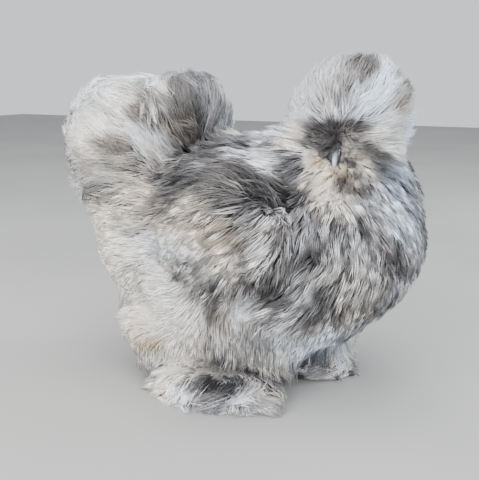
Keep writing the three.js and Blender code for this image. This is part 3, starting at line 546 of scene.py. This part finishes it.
def flow(p, name):
    """The way the coat lies, not yet laid on the surface."""
    s, l, z = p[:, :1], p[:, 1:2], p[:, 2:]
    down = np.array([0, 0, -1.0])
    if name in ("crest", "beard"):
        back = np.clip((l - 12) / 40, 0, 1)
        f = unit(p - FACE) * (1 - 0.5 * back) + down * 0.7 * back
        if name == "beard":
            f = f + down * 0.12
    elif name == "neck":
        f = unit(p - FACE) + np.array([-0.12, 0, -0.30])
        cape = np.clip((35 - s) / 40, 0, 1)
        f = f * (1 - 0.7 * cape) + np.array([-0.9, 0, -0.25]) * cape
    elif name == "trunk":
        front = np.clip((s + 10) / 60, 0, 1)
        high = np.clip((z - 185) / 40, 0, 1)
        rear = np.clip((-50 - s) / 60, 0, 1)
        sweep = np.exp(-((s - 45) ** 2 + (z - 118) ** 2) / (2 * 30.0 ** 2)) * np.clip(-l / 30, 0, 1)
        f = np.array([-0.28, 0, -0.9]) * front + np.array([-0.8, 0, -0.6]) * (1 - front)
        f = f + np.array([-0.95, 0, 0.35]) * sweep
        f = f * (1 - high) + np.array([-0.95, 0, -0.28]) * high
        low = np.clip((110 - z) / 50, 0, 1)
        f = f * (1 - rear) + (np.array([-0.95, 0, -0.22]) * (1 - low) + np.array([-0.6, 0, -0.8]) * low) * rear
        f = f + 0.2 * np.concatenate([0 * s, np.sign(l), 0 * z], 1) * np.clip(np.abs(l) / 40, 0, 1)
        toward = np.exp(-((s - 44) ** 2 + (z - 206) ** 2) / (2 * 20.0 ** 2)) * np.clip(np.abs(l) / 30 - 1, 0, 1)
        f = f + np.array([-1.3, 0, -0.2]) * toward   # and from the shoulder it runs back onto the wing
        for side in (-1, 1):                         # over the front of the wing it already lies the wing's way
            on = np.clip(1 - ell(p, INNER["wing_right" if side < 0 else "wing_left"][0]) / 14, 0, 1)[:, None] * 0.8
            f = f * (1 - on) + unit(p - np.array([62, side * 96, 262.0])) * on
    elif name.startswith("wing"):
        side = -1 if name.endswith("right") else 1
        f = unit(p - np.array([62, side * 96, 262.0])) + np.array([-0.10, 0, 0.0])
    elif name.startswith("thigh"):
        start = -35 if name.endswith("right") else 0
        rear = np.clip((start - s) / 45, 0, 1)
        low = np.clip((95 - z) / 45, 0, 1)
        f = np.array([-0.10, 0, -1.0]) * (1 - rear) + (np.array([-1.0, 0, -0.12]) * (1 - low) + np.array([-0.78, 0, -0.62]) * low) * rear
    elif name == "cushion":
        f = unit(p - np.array([-86, 0, 200.0])) + np.array([-0.03, 0, 0.2])
    elif name == "tail":
        f = unit(p - np.array([-88, 0, 218.0])) + np.array([-0.25, 0, 0.0])
    elif name == "face":
        f = unit(p - FACE) + down * 0.05
    elif name == "shoulder":
        f = unit(p - FACE) + np.array([-0.6, 0, -0.35])
    elif name == "brow":                             # a forelock over the comb
        f = np.tile(HF * 0.7 - HU * 1.0, (len(p), 1)) + HL * (((p - SKULL) @ HL) / 9)[:, None]
    else:
        s0, l0 = FEET["right" if name.endswith("right") else "left"][0]
        f = unit((p - np.array([s0 + 8, l0 * 1.15, 38.0])) * np.array([1, 1, 0.6])) + np.array([-0.05, 0, -0.12])
    return unit(f)


def nearest(a, b):
    """Index into b of the nearest point for each of a."""
    out = np.empty(len(a), int)
    a, b = a.astype(np.float32), b.astype(np.float32)
    mid = b.mean(0)
    a, b = a - mid, b - mid
    bb = (b * b).sum(1)
    for c in np.array_split(np.arange(len(a)), max(1, len(a) * len(b) // 8000000)):
        out[c] = (bb - 2 * a[c] @ b.T).argmin(1)
    return out


def octa(d):
    """The sphere of directions unfolded onto a square."""
    d = d / (np.abs(d).sum(1, keepdims=True) + 1e-9)
    u, v = d[:, 0], d[:, 1]
    low = d[:, 2] < 0
    uu = np.where(low, (1 - np.abs(v)) * np.where(u < 0, -1, 1), u)
    vv = np.where(low, (1 - np.abs(u)) * np.where(v < 0, -1, 1), v)
    return np.stack([uu, vv], 1) * 0.49 + 0.5


def triangles(v, q):
    t = np.concatenate([q[:, [0, 1, 2]], q[:, [0, 2, 3]]])
    a, b, c = v[t[:, 0]], v[t[:, 1]], v[t[:, 2]]
    return a, b, c, 0.5 * np.linalg.norm(np.cross(b - a, c - a), axis=1), (a + b + c) / 3


BODY = triangles(sv, sq)
body_lab = labels(BODY[4])
lapped = (grad(flesh, BODY[4], 2.5)[:, 0] > 0.22) & np.isin(body_lab, [NAMES.index("wing_right"), NAMES.index("wing_left")])
near = ((((BODY[4] - head_point(18, 0, -2)) @ AXES) / np.array([12, 7, 8.5])) ** 2).sum(1) < 1
BODY[3][near | (BODY[4][:, 2] < 5) | (legs(BODY[4]) < 1.2)] = 0
FACIAL = triangles(hv, hq)
_h = (FACIAL[4] - SKULL) @ AXES
_eyes = np.minimum(*[np.linalg.norm(_h - np.array([EYE_AT[0], m * EYE_AT[1], EYE_AT[2]]), axis=1) for m in (-1, 1)])
FACIAL[3][(_eyes < 6.9) | (flesh(FACIAL[4]) < -1.0) | ((_h[:, 0] > 12.5) & (np.abs(_h[:, 2] + 2) < 7) & (np.abs(_h[:, 1]) < 5.5))
          | ((np.abs(_h[:, 1]) < 5) & (_h[:, 2] > 5) & (_h[:, 0] > 9))] = 0


def grow(name, n, steps, long, rise, lock, group, gather, mess, proud, field=flesh, tris=BODY, pool=None, low=0.0):
    """Paths of n feathers from root to tip, and the lock each belongs to."""
    a, b, c, area, mid = tris
    chance = area[pool] / area[pool].sum()
    pick = rng.choice(pool, n, p=chance)
    u, v = rng.random((2, n, 1))
    u, v = np.where(u + v > 1, 1 - u, u), np.where(u + v > 1, 1 - v, v)
    root = a[pick] + (b[pick] - a[pick]) * u + (c[pick] - a[pick]) * v
    nor = grad(field, root)
    nl, ng = (max(8, int(area[pool].sum() / x ** 2)) for x in (lock, group))
    lock_at, group_at = (mid[rng.choice(pool, k, p=chance)] for k in (nl, ng))
    own, flock = nearest(root, lock_at), nearest(lock_at, group_at)
    turn = (rng.normal(0, 1, (ng, 3)) * mess * 1.25)[flock] + rng.normal(0, 1, (nl, 3)) * mess * 0.8
    longer = rng.normal(1, 0.10, ng)[flock] * rng.normal(1, 0.12, nl)
    higher = np.clip(rng.uniform(0.84, 1.04, ng)[flock] + rng.normal(0, 0.13, nl), 0.4, 1.1)
    curl = rng.normal(0, 0.18, nl)
    stand = proud * rng.random(nl) ** 1.6
    if name.startswith("wing"):                      # the lower edge of the wing overhangs
        stand = stand + 7 * np.clip((168 - lock_at[:, 2]) / 26, 0, 1)

    depth = np.clip(-outer(root), 2.5, 48)
    bold = (stand / (proud + 1e-6)) ** 2 if name in SPIKY else np.zeros(nl)
    length = long * longer[own] * rng.normal(1, 0.10, n) * (0.72 + 0.28 * np.clip(depth / 18, 0, 1.7)) * (1 + 0.3 * bold[own])
    if name in ("crest", "beard", "neck", "face"):
        length *= np.clip((np.linalg.norm(root - FACE, axis=1) - 2) / 30, 0.42, 1)
    under = np.clip(-nor[:, 2] - 0.3, 0, 1) * 1.2 * (name.startswith("thigh") or name == "trunk")
    high = (depth + 6 * under) * np.clip(higher[own] + rng.normal(0, 0.07, n) - low * rng.random(n), 0.2, 1.1)
    length = length * (1 + 0.35 * under)
    rise = rise + 0.9 * under
    stand_all = 7 * under * (name != "trunk")
    if name == "boot_right":
        length = length * np.clip((root[:, 0] + 118) / 50, 0.35, 1)
    stray = rng.normal(0, 1, (n, 3)) * mess * 0.5
    pts, at = [root - nor * 1.2], root.copy()
    for j in range(steps):
        t = (j + 1) / steps
        nn = grad(field, at, 2.5) if j else nor
        if name.startswith("wing"):                  # past the end of the wing they run on over the flank
            nn = unit(nn * np.array([0.3, 1, 0.5]))
        f = flow(at, name) + turn[own] + stray
        f = unit(f - (f * nn).sum(1, keepdims=True) * nn)
        f = f + np.cross(nn, f) * (curl[own] * (t - 0.4) * 1.6)[:, None]
        step = length / steps
        hang = (np.clip((-nn[:, 2] - 0.15) / 0.5, 0, 1) * 0.85 * (name == "trunk" or name.startswith("thigh")))[:, None]
        want = high * (1 - (1 - t) ** (1.25 if name in PUFFS else 1.6 + rise))
        now = field(at) if j else np.zeros(n)
        up = np.clip((want - now) / step, -0.5, 0.55 + 1.2 * rise)
        at = at + unit(f * (1 - hang) + nn * up[:, None] * (1 - 0.5 * hang) + np.array([0, 0, -1.1]) * hang) * step[:, None]
        pts.append(at.copy())
    pts = np.stack(pts, 1)
    # gather each lock towards its middle, most at the tips
    cnt = np.bincount(own, minlength=nl)[:, None, None] + 1e-9
    cen = np.stack([np.stack([np.bincount(own, weights=pts[:, j, k], minlength=nl) for k in range(3)], 1)
                    for j in range(steps + 1)], 1) / cnt
    tt = np.linspace(0, 1, steps + 1)[None, :, None]
    pull = (gather + 0.25 * bold[own])[:, None, None] * tt ** 1.3 * rng.uniform(0.6, 1.2, n)[:, None, None]
    pts = pts + (cen[own] - pts) * np.clip(pull, 0, 0.94)
    # keep to the plumage's own outline, the tips a little proud of it
    for j in range(1, steps + 1):
        q = pts[:, j]
        over = outer(q) - (stand[own] + stand_all + rng.uniform(-1.0, 1.5, n)) * (j / steps) ** 2
        pts[:, j] -= grad(outer, q, 2.0) * np.maximum(over, 0)[:, None]
    if name.startswith("boot"):                      # the foot's fans come down to the floor at their tips
        pts[:, :, 2] *= 1 - 0.62 * tt[:, :, 0] ** 1.4
    pts[:, :, 2] = np.maximum(pts[:, :, 2], 0.7)
    look = cen[own][:, -2:].mean(1) * 0.5 + pts[:, -2:].mean(1) * 0.5
    return pts, root, own, nl, look


def feathers(name, pts, root, rgb, wide, home):
    """Closed, tapering three-sided feathers along pts, as one piece."""
    n, m, _ = pts.shape
    rings = m - 2
    prof = {1: [1.0], 2: [1.0, 0.82], 3: [0.9, 1.0, 0.7]}[rings]
    wide = wide * rng.uniform(0.7, 1.3, n)
    nv = 3 * rings + 2
    verts = np.empty((n, nv, 3))
    verts[:, 0], verts[:, -1] = pts[:, 0], pts[:, -1]
    if home in ("crest", "beard", "neck"):           # finer round the face
        wide = wide * np.clip((np.linalg.norm(root - FACE, axis=1) - 2) / 34, 0.5, 1)
    ref = unit(np.cross(unit(pts[:, 1] - pts[:, 0]), unit(rng.normal(size=(n, 3)))))
    for j in range(rings):
        tan = unit(pts[:, j + 2] - pts[:, j])
        a = unit(ref - (ref * tan).sum(1, keepdims=True) * tan)
        b = np.cross(tan, a)
        for k in range(3):
            ang = 2 * math.pi * k / 3
            verts[:, 1 + 3 * j + k] = pts[:, j + 1] + (a * math.cos(ang) + b * math.sin(ang)) * (wide * prof[j])[:, None]
    verts[:, :, 2] = np.maximum(verts[:, :, 2], 0.2)
    f = [[1 + (k + 1) % 3, 1 + k, 0] for k in range(3)]
    for j in range(rings - 1):
        for k in range(3):
            a, b = 1 + 3 * j + k, 1 + 3 * j + (k + 1) % 3
            f += [[a, b, b + 3], [a, b + 3, a + 3]]
    j = 1 + 3 * (rings - 1)
    f += [[j + k, j + (k + 1) % 3, nv - 1] for k in range(3)]
    faces = (np.array(f)[None] + (np.arange(n) * nv)[:, None, None]).reshape(-1, 3)
    ob = add_mesh(name, to_row(verts.reshape(-1, 3)), faces)
    tt = np.concatenate([[0.0], np.repeat((1 + np.arange(rings)) / (rings + 1), 3), [1.0]])
    paint(ob, rgb(tt).reshape(-1, 3))
    # a feather's colours come from a small patch at its root's place
    c, r, _ = INNER[home][0]
    du = np.concatenate([[0], np.tile([-0.0015, 0, 0.0015], rings), [0]])
    dv = (tt + np.concatenate([[0], np.tile([0, 0.1, 0], rings), [0]])) * 0.003 - 0.0015
    uv = octa((root - np.array(c)) / np.array(r))[:, None] + np.stack([du, dv], 1)[None]
    lay = ob.data.uv_layers.new(name="OFBake")
    lay.data.foreach_set("uv", uv.reshape(-1, 2)[faces.ravel()].astype(np.float32).ravel())
    coats.append(ob)


def coat(name, label, n, steps, long, rise, wide, lock, group, gather, mess, proud, root_shade, **kw):
    global rng
    rng = np.random.default_rng(4000 + 10 * NAMES.index(label) + steps + 200 * (name != label))
    pts, root, own, nl, look = grow(name, n, steps, long, rise, lock, group, gather, mess, proud, **kw)
    m = steps + 1
    lab = np.full(n, NAMES.index(label))
    # each lock reads the markings a little up or down its own length
    slide = (rng.normal(0, 2.5 if name in SMOOTH else 7.0, nl)[own] + rng.normal(0, 1.5, n))[:, None] * unit(pts[:, -1] - pts[:, 0])
    t0, w0 = marking(look + slide, lab)
    tone, warm = np.empty((n, m)), np.empty((n, m))
    for j in range(1, m):
        tone[:, j], warm[:, j] = marking(pts[:, j] + slide, lab)
    tone = tone * 0.75 + t0[:, None] * 0.25
    warm = warm * 0.75 + w0[:, None] * 0.25
    tone[:, 0], warm[:, 0] = tone[:, 1], warm[:, 1]
    vary = BASE[label][2]
    # mid greys differ most from lock to lock, the pale fluff least
    amount = 0.3 + 1.2 * np.clip(1 - np.abs(t0 - 0.5) / 0.5, 0, 1)
    tone += ((noise3(look, 10, 6) * 0.025 + rng.normal(0, 0.03, n)) * min(1, vary * 11) + rng.normal(0, 1, nl)[own] * vary * amount)[:, None]
    warm += (noise3(look, 40, 7) * 0.05 + rng.normal(0, 0.06, nl)[own])[:, None]

    def rgb(tt, sel):
        # darker down by the root as painted shade deep in the coat, paler towards the tip
        along = np.where(tt < 0.5, -root_shade * (1 - tt / 0.5), 0.06 * (tt - 0.5) / 0.5)
        at = np.rint(tt * steps).astype(int)
        return shade(tone[sel][:, at] + along[None], warm[sel][:, at])

    per = 6 + 6 * (steps - 2)
    parts = max(1, math.ceil(n * per / 190000))
    for i in range(parts):
        sel = np.arange(n)[i::parts]
        kind = "" if steps > 2 else "_down"
        piece = f"coat_{name}{kind}" + (f"_{i + 1}" if parts > 1 else "")
        feathers(piece, pts[sel], root[sel], lambda tt, sel=sel: rgb(tt, sel), wide, label)


coats = []
SPIKY = ("crest", "tail", "cushion", "boot_right", "boot_left")
PUFFS = ("crest", "beard", "cushion", "tail", "boot_right", "boot_left")
SMOOTH = ("crest", "thigh_right", "thigh_left", "tail", "beard", "face")
for name, (n3, n2, long, rise, wide, lock, group, gather, mess, proud) in REGION.items():
    mine = (body_lab == NAMES.index(name)) & (BODY[3] > 0)
    if name.startswith("wing"):                      # breast and neck lap over the front of the wing
        mine &= ~lapped
    if name == "trunk":
        mine |= lapped & (BODY[3] > 0)
    pool = np.where(mine)[0]
    # how much darker the roots are painted, as shade deep in the coat
    root_shade = 0.10 if name in SMOOTH else 0.32 if name.startswith("boot") else 0.22
    coat(name, name, n3, 3, long, rise, wide, lock, group, gather, mess, proud, root_shade, pool=pool)
    coat(name, name, n2, 2, long * 0.8, rise, wide, lock, group, gather * 0.8, mess, proud * 0.3, root_shade, pool=pool, low=0.35)
_b = (BODY[4] - SKULL) @ AXES
_brow = (BODY[3] > 0) & (np.abs(_b[:, 1]) < 9) & (_b[:, 2] > 7) & (_b[:, 2] < 20) & (_b[:, 0] > 4)
coat("brow", "crest", 420, 3, 15, 0.35, 0.30, 2.6, 5, 0.6, 0.14, 0.0, 0.1, pool=np.where(_brow)[0])
# more where the lie of the coat parts: over the shoulders and under the beard
_part = np.zeros(len(BODY[4]), bool)
for _at, _reach in (((22, -90, 204), 17), ((22, 90, 204), 17), ((73, -50, 212), 8)):
    _part |= np.linalg.norm(BODY[4] - np.array(_at), axis=1) < _reach
coat("shoulder", "neck", 1500, 3, 23, 0.3, 0.40, 3.4, 9, 0.6, 0.14, 0.5, 0.15, pool=np.where(_part & (BODY[3] > 0))[0])
coat("face", "crest", 3200, 2, 13, 0.5, 0.30, 2.4, 5, 0.55, 0.16, 0.0, 0.15, field=skull, tris=FACIAL, pool=np.where(FACIAL[3] > 0)[0])


# ---------------------------------------------------------------- materials
def material(name, rough=0.6, sheen=0.0, coat=0.0, spec=0.3, color=None):
    m = bpy.data.materials.new(name)
    m.use_nodes = True
    b = m.node_tree.nodes["Principled BSDF"]
    b.inputs["Roughness"].default_value = rough
    b.inputs["Sheen Weight"].default_value = sheen
    b.inputs["Coat Weight"].default_value = coat
    b.inputs["Specular IOR Level"].default_value = spec
    if color:
        b.inputs["Base Color"].default_value = (*color, 1)
    return m, m.node_tree.nodes, m.node_tree.links, b


def mottle(nodes, links, scale, detail, lo, hi, a=0.35, b=0.65, kind="NOISE", where="Object"):
    tex = nodes.new("ShaderNodeTexCoord")
    no = nodes.new("ShaderNodeTexNoise" if kind == "NOISE" else "ShaderNodeTexVoronoi")
    no.inputs["Scale"].default_value = scale
    if kind == "NOISE":
        no.inputs["Detail"].default_value = detail
    links.new(tex.outputs[where], no.inputs["Vector"])
    ramp = nodes.new("ShaderNodeValToRGB")
    ramp.color_ramp.elements[0].color = (*lo, 1)
    ramp.color_ramp.elements[1].color = (*hi, 1)
    ramp.color_ramp.elements[0].position = a
    ramp.color_ramp.elements[1].position = b
    links.new(no.outputs["Fac" if kind == "NOISE" else "Distance"], ramp.inputs["Fac"])
    return ramp.outputs["Color"], no


def times(nodes, links, a, b):
    n = nodes.new("ShaderNodeMix")
    n.data_type = "RGBA"
    n.blend_type = "MULTIPLY"
    ins = [s for s in n.inputs if s.enabled]
    ins[0].default_value = 1.0
    links.new(a, ins[1])
    links.new(b, ins[2])
    return [o for o in n.outputs if o.enabled][0]


def painted(name, rough, sheen, spec, scale, lo, hi, coat=0.0, bump=None):
    """The painted tone of the mesh under fine mottling."""
    m, nodes, links, b = material(name, rough, sheen, coat, spec)
    at = nodes.new("ShaderNodeAttribute")
    at.attribute_name = "tone"
    fine, no = mottle(nodes, links, scale, 3, (lo,) * 3, (hi,) * 3, 0.3, 0.7)
    links.new(times(nodes, links, at.outputs["Color"], fine), b.inputs["Base Color"])
    if bump:
        bp = nodes.new("ShaderNodeBump")
        bp.inputs["Strength"].default_value = bump
        bp.inputs["Distance"].default_value = 0.0005
        links.new(no.outputs["Fac"], bp.inputs["Height"])
        links.new(bp.outputs["Normal"], b.inputs["Normal"])
    return m


plumage = painted("plumage", 0.66, 0.06, 0.12, 420, 0.84, 1.06)
for ob in coats:
    ob.data.materials.append(plumage)
    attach(ob, "root")
skin.data.materials.append(painted("skin", 0.6, 0.0, 0.25, 700, 0.75, 1.15, bump=0.4))
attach(skin, "root")
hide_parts("head", "neck", "trunk", "crest", "beard", "tail", "saddle_cushion", "wing_right", "wing_left",
            "thigh_right", "thigh_left", "foot_feathers_right", "foot_feathers_left", "foot_right", "foot_left")


# ---------------------------------------------------------------- face parts
def loft(name, path, size, sides=28, rings=30, flat=0.72, ridge=0.0):
    """A closed, tapering horn shape along path (head directions)."""
    path = np.array(path, float)
    u = np.linspace(0, 1, rings)
    key = np.linspace(0, 1, len(path))
    cen = np.stack([np.interp(u, key, path[:, k]) for k in range(3)], 1)
    for _ in range(4):
        cen[1:-1] = (cen[:-2] + 2 * cen[1:-1] + cen[2:]) / 4
    verts, uu, top = [], [], []
    for i in range(rings):
        tan = unit(cen[min(i + 1, rings - 1)] - cen[max(i - 1, 0)])
        side = np.array([0, 1.0, 0])
        up = np.cross(tan, side)
        r = size(u[i])
        for k in range(sides):
            ang = 2 * math.pi * k / sides
            x, y = math.cos(ang), math.sin(ang)
            y = y * flat * (1 + ridge * max(y, 0) ** 6)
            verts.append(cen[i] + side * x * r + up * y * r)
            uu.append(u[i])
            top.append(math.sin(ang))
    n = len(verts)
    verts += [cen[0], cen[-1] + (cen[-1] - cen[-2]) * 0.6]
    uu += [0, 1]
    top += [0, 0]
    f = []
    for i in range(rings - 1):
        for k in range(sides):
            a, b = i * sides + k, i * sides + (k + 1) % sides
            f += [[a, b, b + sides], [a, b + sides, a + sides]]
    for k in range(sides):
        f.append([(k + 1) % sides, k, n])
        f.append([(rings - 1) * sides + k, (rings - 1) * sides + (k + 1) % sides, n + 1])
    v = np.array(verts)
    bird = SKULL + v @ AXES.T
    ob = add_mesh(name, to_row(bird), np.array(f)[:, ::-1])
    return ob, v, np.array(uu), np.array(top)


def finish_piece(ob, mat, slot, *nodes_):
    ob.data.materials.append(mat)
    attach(ob, "root")
    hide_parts(*nodes_)


horn = painted("horn", 0.42, 0.0, 0.4, 900, 0.82, 1.08, coat=0.25, bump=0.25)
upper, v, u, top = loft("beak_upper_horn", [(11.5, 0, 0.5), (21.85, 0, 0.9), (30.25, 0, -1.2), (35.5, 0, -5.5)],
                        lambda t: 5.3 * max(0.10, (1 - t) ** 0.55), ridge=0.18)
# paler towards the tip, the beak's own lighter tip, and paler along the top of the ridge as a painted sky highlight
pale = np.clip(u * 1.25 - 0.25 + 0.25 * np.clip(top, 0, 1), 0, 1)[:, None]
pale = pale * np.clip(0.75 - v[:, 1:2] / 3.0, 0.05, 1)      # kept to the bird's right side, the lit one, as a painted highlight; the left side stays dark as painted shade
beak_tone_and_highlight = np.array([0.040, 0.048, 0.056]) * (1 - pale) + np.array([0.50, 0.57, 0.66]) * pale
# the nostrils are painted near black: painted shade for pits the shape doesn't have
nostril_shade = np.exp(-(((v[:, 0] - 17.5) / 1.7) ** 2 + ((v[:, 2] - 1.9) / 0.75) ** 2))[:, None] * (np.abs(v[:, 1:2]) > 2)
paint(upper, beak_tone_and_highlight * (1 - 0.9 * nostril_shade))
finish_piece(upper, horn, "horn", "beak_upper")
lower, v, u, top = loft("beak_lower_horn", [(11.5, 0, -4.9), (22.9, 0, -5.1), (30.5, 0, -4.9)],
                        lambda t: 4.3 * max(0.18, (1 - t) ** 0.55), flat=0.60)
paint(lower, np.array([0.09, 0.10, 0.12]) + np.array([0.25, 0.28, 0.32]) * np.clip(u - 0.3, 0, 1)[:, None])
finish_piece(lower, horn, "horn", "beak_lower")


def ball(f, at, reach, h=0.45):
    return surface(f, np.asarray(at) - reach, np.asarray(at) + reach, h)


def in_head(p):
    return (p - SKULL) @ AXES


# comb: a low cushion of small warts in front of the crest
def comb_field(p):
    q = in_head(p)
    d = ell(q, ((14.6, 0, 8.4), (5.2, 5.0, 3.6), 0))
    for i in range(14):
        a = i * 2.4
        r = 0.9 + 3.4 * math.sqrt(i / 14)
        d = smin(d, np.linalg.norm(q - np.array([14.6 + r * math.cos(a), r * math.sin(a), 10.6 - 0.16 * r * r]), axis=1) - 1.15, 0.8)
    return d


v, q = ball(comb_field, head_point(14.6, 0, 8.6), 7.5)
comb = add_mesh("comb_walnut", to_row(v), q)
# near black: the comb's own dark mulberry, darkened further as painted shade under the forelock
paint(comb, np.array([0.014, 0.010, 0.012]) * (1 + 0.25 * noise3(v, 1.6, 41))[:, None])
flesh_mat = painted("comb_skin", 0.65, 0.0, 0.12, 1400, 0.75, 1.2, bump=0.5)
finish_piece(comb, flesh_mat, "comb_skin", "comb")
for side, m in (("right", -1), ("left", 1)):
    def drop(p, m=m):
        x = in_head(p)
        d = ell(x, ((11.8, m * 5, -10.2), (2.2, 3.6, 4.9), 0))
        return d + 0.18 * np.sin(x[:, 2] * 3.1) * np.sin(x[:, 1] * 2.7)

    v, q = ball(drop, head_point(11.8, m * 5, -10.2), 6.5)
    ob = add_mesh(f"wattle_{side}_skin", to_row(v), q)
    paint(ob, np.tile([0.085, 0.034, 0.05], (len(v), 1)))
    finish_piece(ob, flesh_mat, "comb_skin", f"wattle_{side}")

    def lobe(p, m=m):
        x = in_head(p)
        d = ell(x, ((-1.5, m * 13.2, -5), (4.3, 2.2, 5.3), 0))
        return d + 0.14 * np.sin(x[:, 2] * 2.3 + x[:, 0] * 1.9)

    v, q = ball(lobe, head_point(-1.5, m * 13.2, -5), 7.0)
    ob = add_mesh(f"earlobe_{side}_skin", to_row(v), q)
    edge = np.clip((np.abs(in_head(v)[:, 1]) - 13) / 2.2, 0, 1)[:, None]
    paint(ob, np.array([0.03, 0.07, 0.09]) * (1 - edge) + np.array([0.10, 0.36, 0.42]) * edge)
    finish_piece(ob, painted(f"lobe_{side}", 0.5, 0.0, 0.3, 1400, 0.8, 1.15, coat=0.1, bump=0.4), "lobe_skin", f"earlobe_{side}")

    # eye: the ball, a cornea that stands out of it, the iris and the pupil
    rows, cols = 40, 56
    eye_v, eye_c = [], []
    for i in range(rows + 1):
        th = math.pi * i / rows
        bulge = EYE_R * 0.97 + 0.55 * math.exp(-(th / 0.48) ** 2)
        for k in range(cols):
            ph = 2 * math.pi * k / cols
            eye_v.append([math.sin(th) * math.cos(ph) * bulge, m * math.cos(th) * bulge, math.sin(th) * math.sin(ph) * bulge])
            ray = 0.8 + 0.35 * math.sin(ph * 19) * math.sin(ph * 7 + 1)
            if th < 0.27:
                eye_c.append([0.004, 0.004, 0.005])
            elif th < 0.68:
                eye_c.append([0.075 * ray, 0.032 * ray, 0.016 * ray])
            else:
                eye_c.append([0.03, 0.025, 0.024])
    f = []
    for i in range(rows):
        for k in range(cols):
            a, b = i * cols + k, i * cols + (k + 1) % cols
            f.append([a, b, b + cols, a + cols])
    f = np.array(f)
    if m > 0:
        f = f[:, ::-1]
    ev = np.array(eye_v) + np.array([EYE_AT[0], m * EYE_AT[1], EYE_AT[2]])
    ob = add_mesh(f"eye_{side}_ball", to_row(SKULL + ev @ AXES.T), f)
    paint(ob, eye_c)
    em = painted(f"eye_{side}_mat", 0.12, 0.0, 0.6, 1500, 0.85, 1.1, coat=1.0)
    finish_piece(ob, em, "eye", f"eye_{side}")

# claws: horn, mottled in dark and paler grey
claw_mat, nodes, links, b = material("claw_horn", 0.4, 0.0, 0.2, 0.4)
c, no = mottle(nodes, links, 260, 4, (0.05, 0.048, 0.055), (0.20, 0.19, 0.20), 0.3, 0.75)
links.new(c, b.inputs["Base Color"])
for n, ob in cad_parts.items():
    if n.startswith("claw_") and getattr(ob, "type", "") == "MESH":
        ob.data.materials.clear()
        ob.data.materials.append(claw_mat)

# ------------------------------------------------------------ floor and light
bpy.ops.mesh.primitive_plane_add(size=8, location=(0, 0, 0))
floor = bpy.context.object
floor.name = "floor"
fm, nodes, links, b = material("floor", 0.9, 0.0, 0.0, 0.1)
c, no = mottle(nodes, links, 3.0, 2, (0.31, 0.31, 0.306), (0.335, 0.335, 0.33))
links.new(c, b.inputs["Base Color"])
floor.data.materials.append(fm)

world = bpy.data.worlds.new("studio")
bpy.context.scene.world = world
world.use_nodes = True
world.node_tree.nodes["Background"].inputs["Color"].default_value = (0.78, 0.80, 0.83, 1)
world.node_tree.nodes["Background"].inputs["Strength"].default_value = 1.2


def area(name, at, aim, size, power, color=(1, 1, 1)):
    lamp = bpy.data.lights.new(name, "AREA")
    lamp.shape = "DISK"
    lamp.size = size
    lamp.energy = power
    lamp.color = color
    ob = bpy.data.objects.new(name, lamp)
    ob.location = at
    ob.rotation_euler = (Vector(aim) - Vector(at)).to_track_quat("-Z", "Y").to_euler()
    bpy.context.scene.collection.objects.link(ob)


area("sky", (-0.4, 0.1, 2.2), (0, 0, 0.15), 2.0, 62, (1.0, 0.995, 0.98))
area("side", (-2.0, 0.5, 0.9), (0, 0, 0.15), 1.8, 90, (1.0, 0.99, 0.975))
area("front", (-1.3, -1.7, 0.8), (0, 0, 0.15), 1.4, 38, (1.0, 0.99, 0.98))
area("rim", (0.9, -1.4, 1.0), (0, 0, 0.2), 1.0, 27, (0.86, 0.93, 1.0))

# ------------------------------------------------------------------- camera
HEAD_ON = math.radians(26)
cam = bpy.data.cameras.new("camera")
cam.sensor_width = 36
cam.lens = 52.5
cam_ob = bpy.data.objects.new("camera", cam)
bpy.context.scene.collection.objects.link(cam_ob)
cam_ob.location = (-0.6384 + SHIFT[0] / 1000, -0.2616 + SHIFT[1] / 1000, 0.315)
pitch = math.atan((240 - 76) / 700)
look = Vector((math.cos(HEAD_ON) * math.cos(pitch), math.sin(HEAD_ON) * math.cos(pitch), -math.sin(pitch)))
cam_ob.rotation_euler = look.to_track_quat("-Z", "Y").to_euler()
bpy.context.scene.camera = cam_ob

bpy.context.view_layer.update()
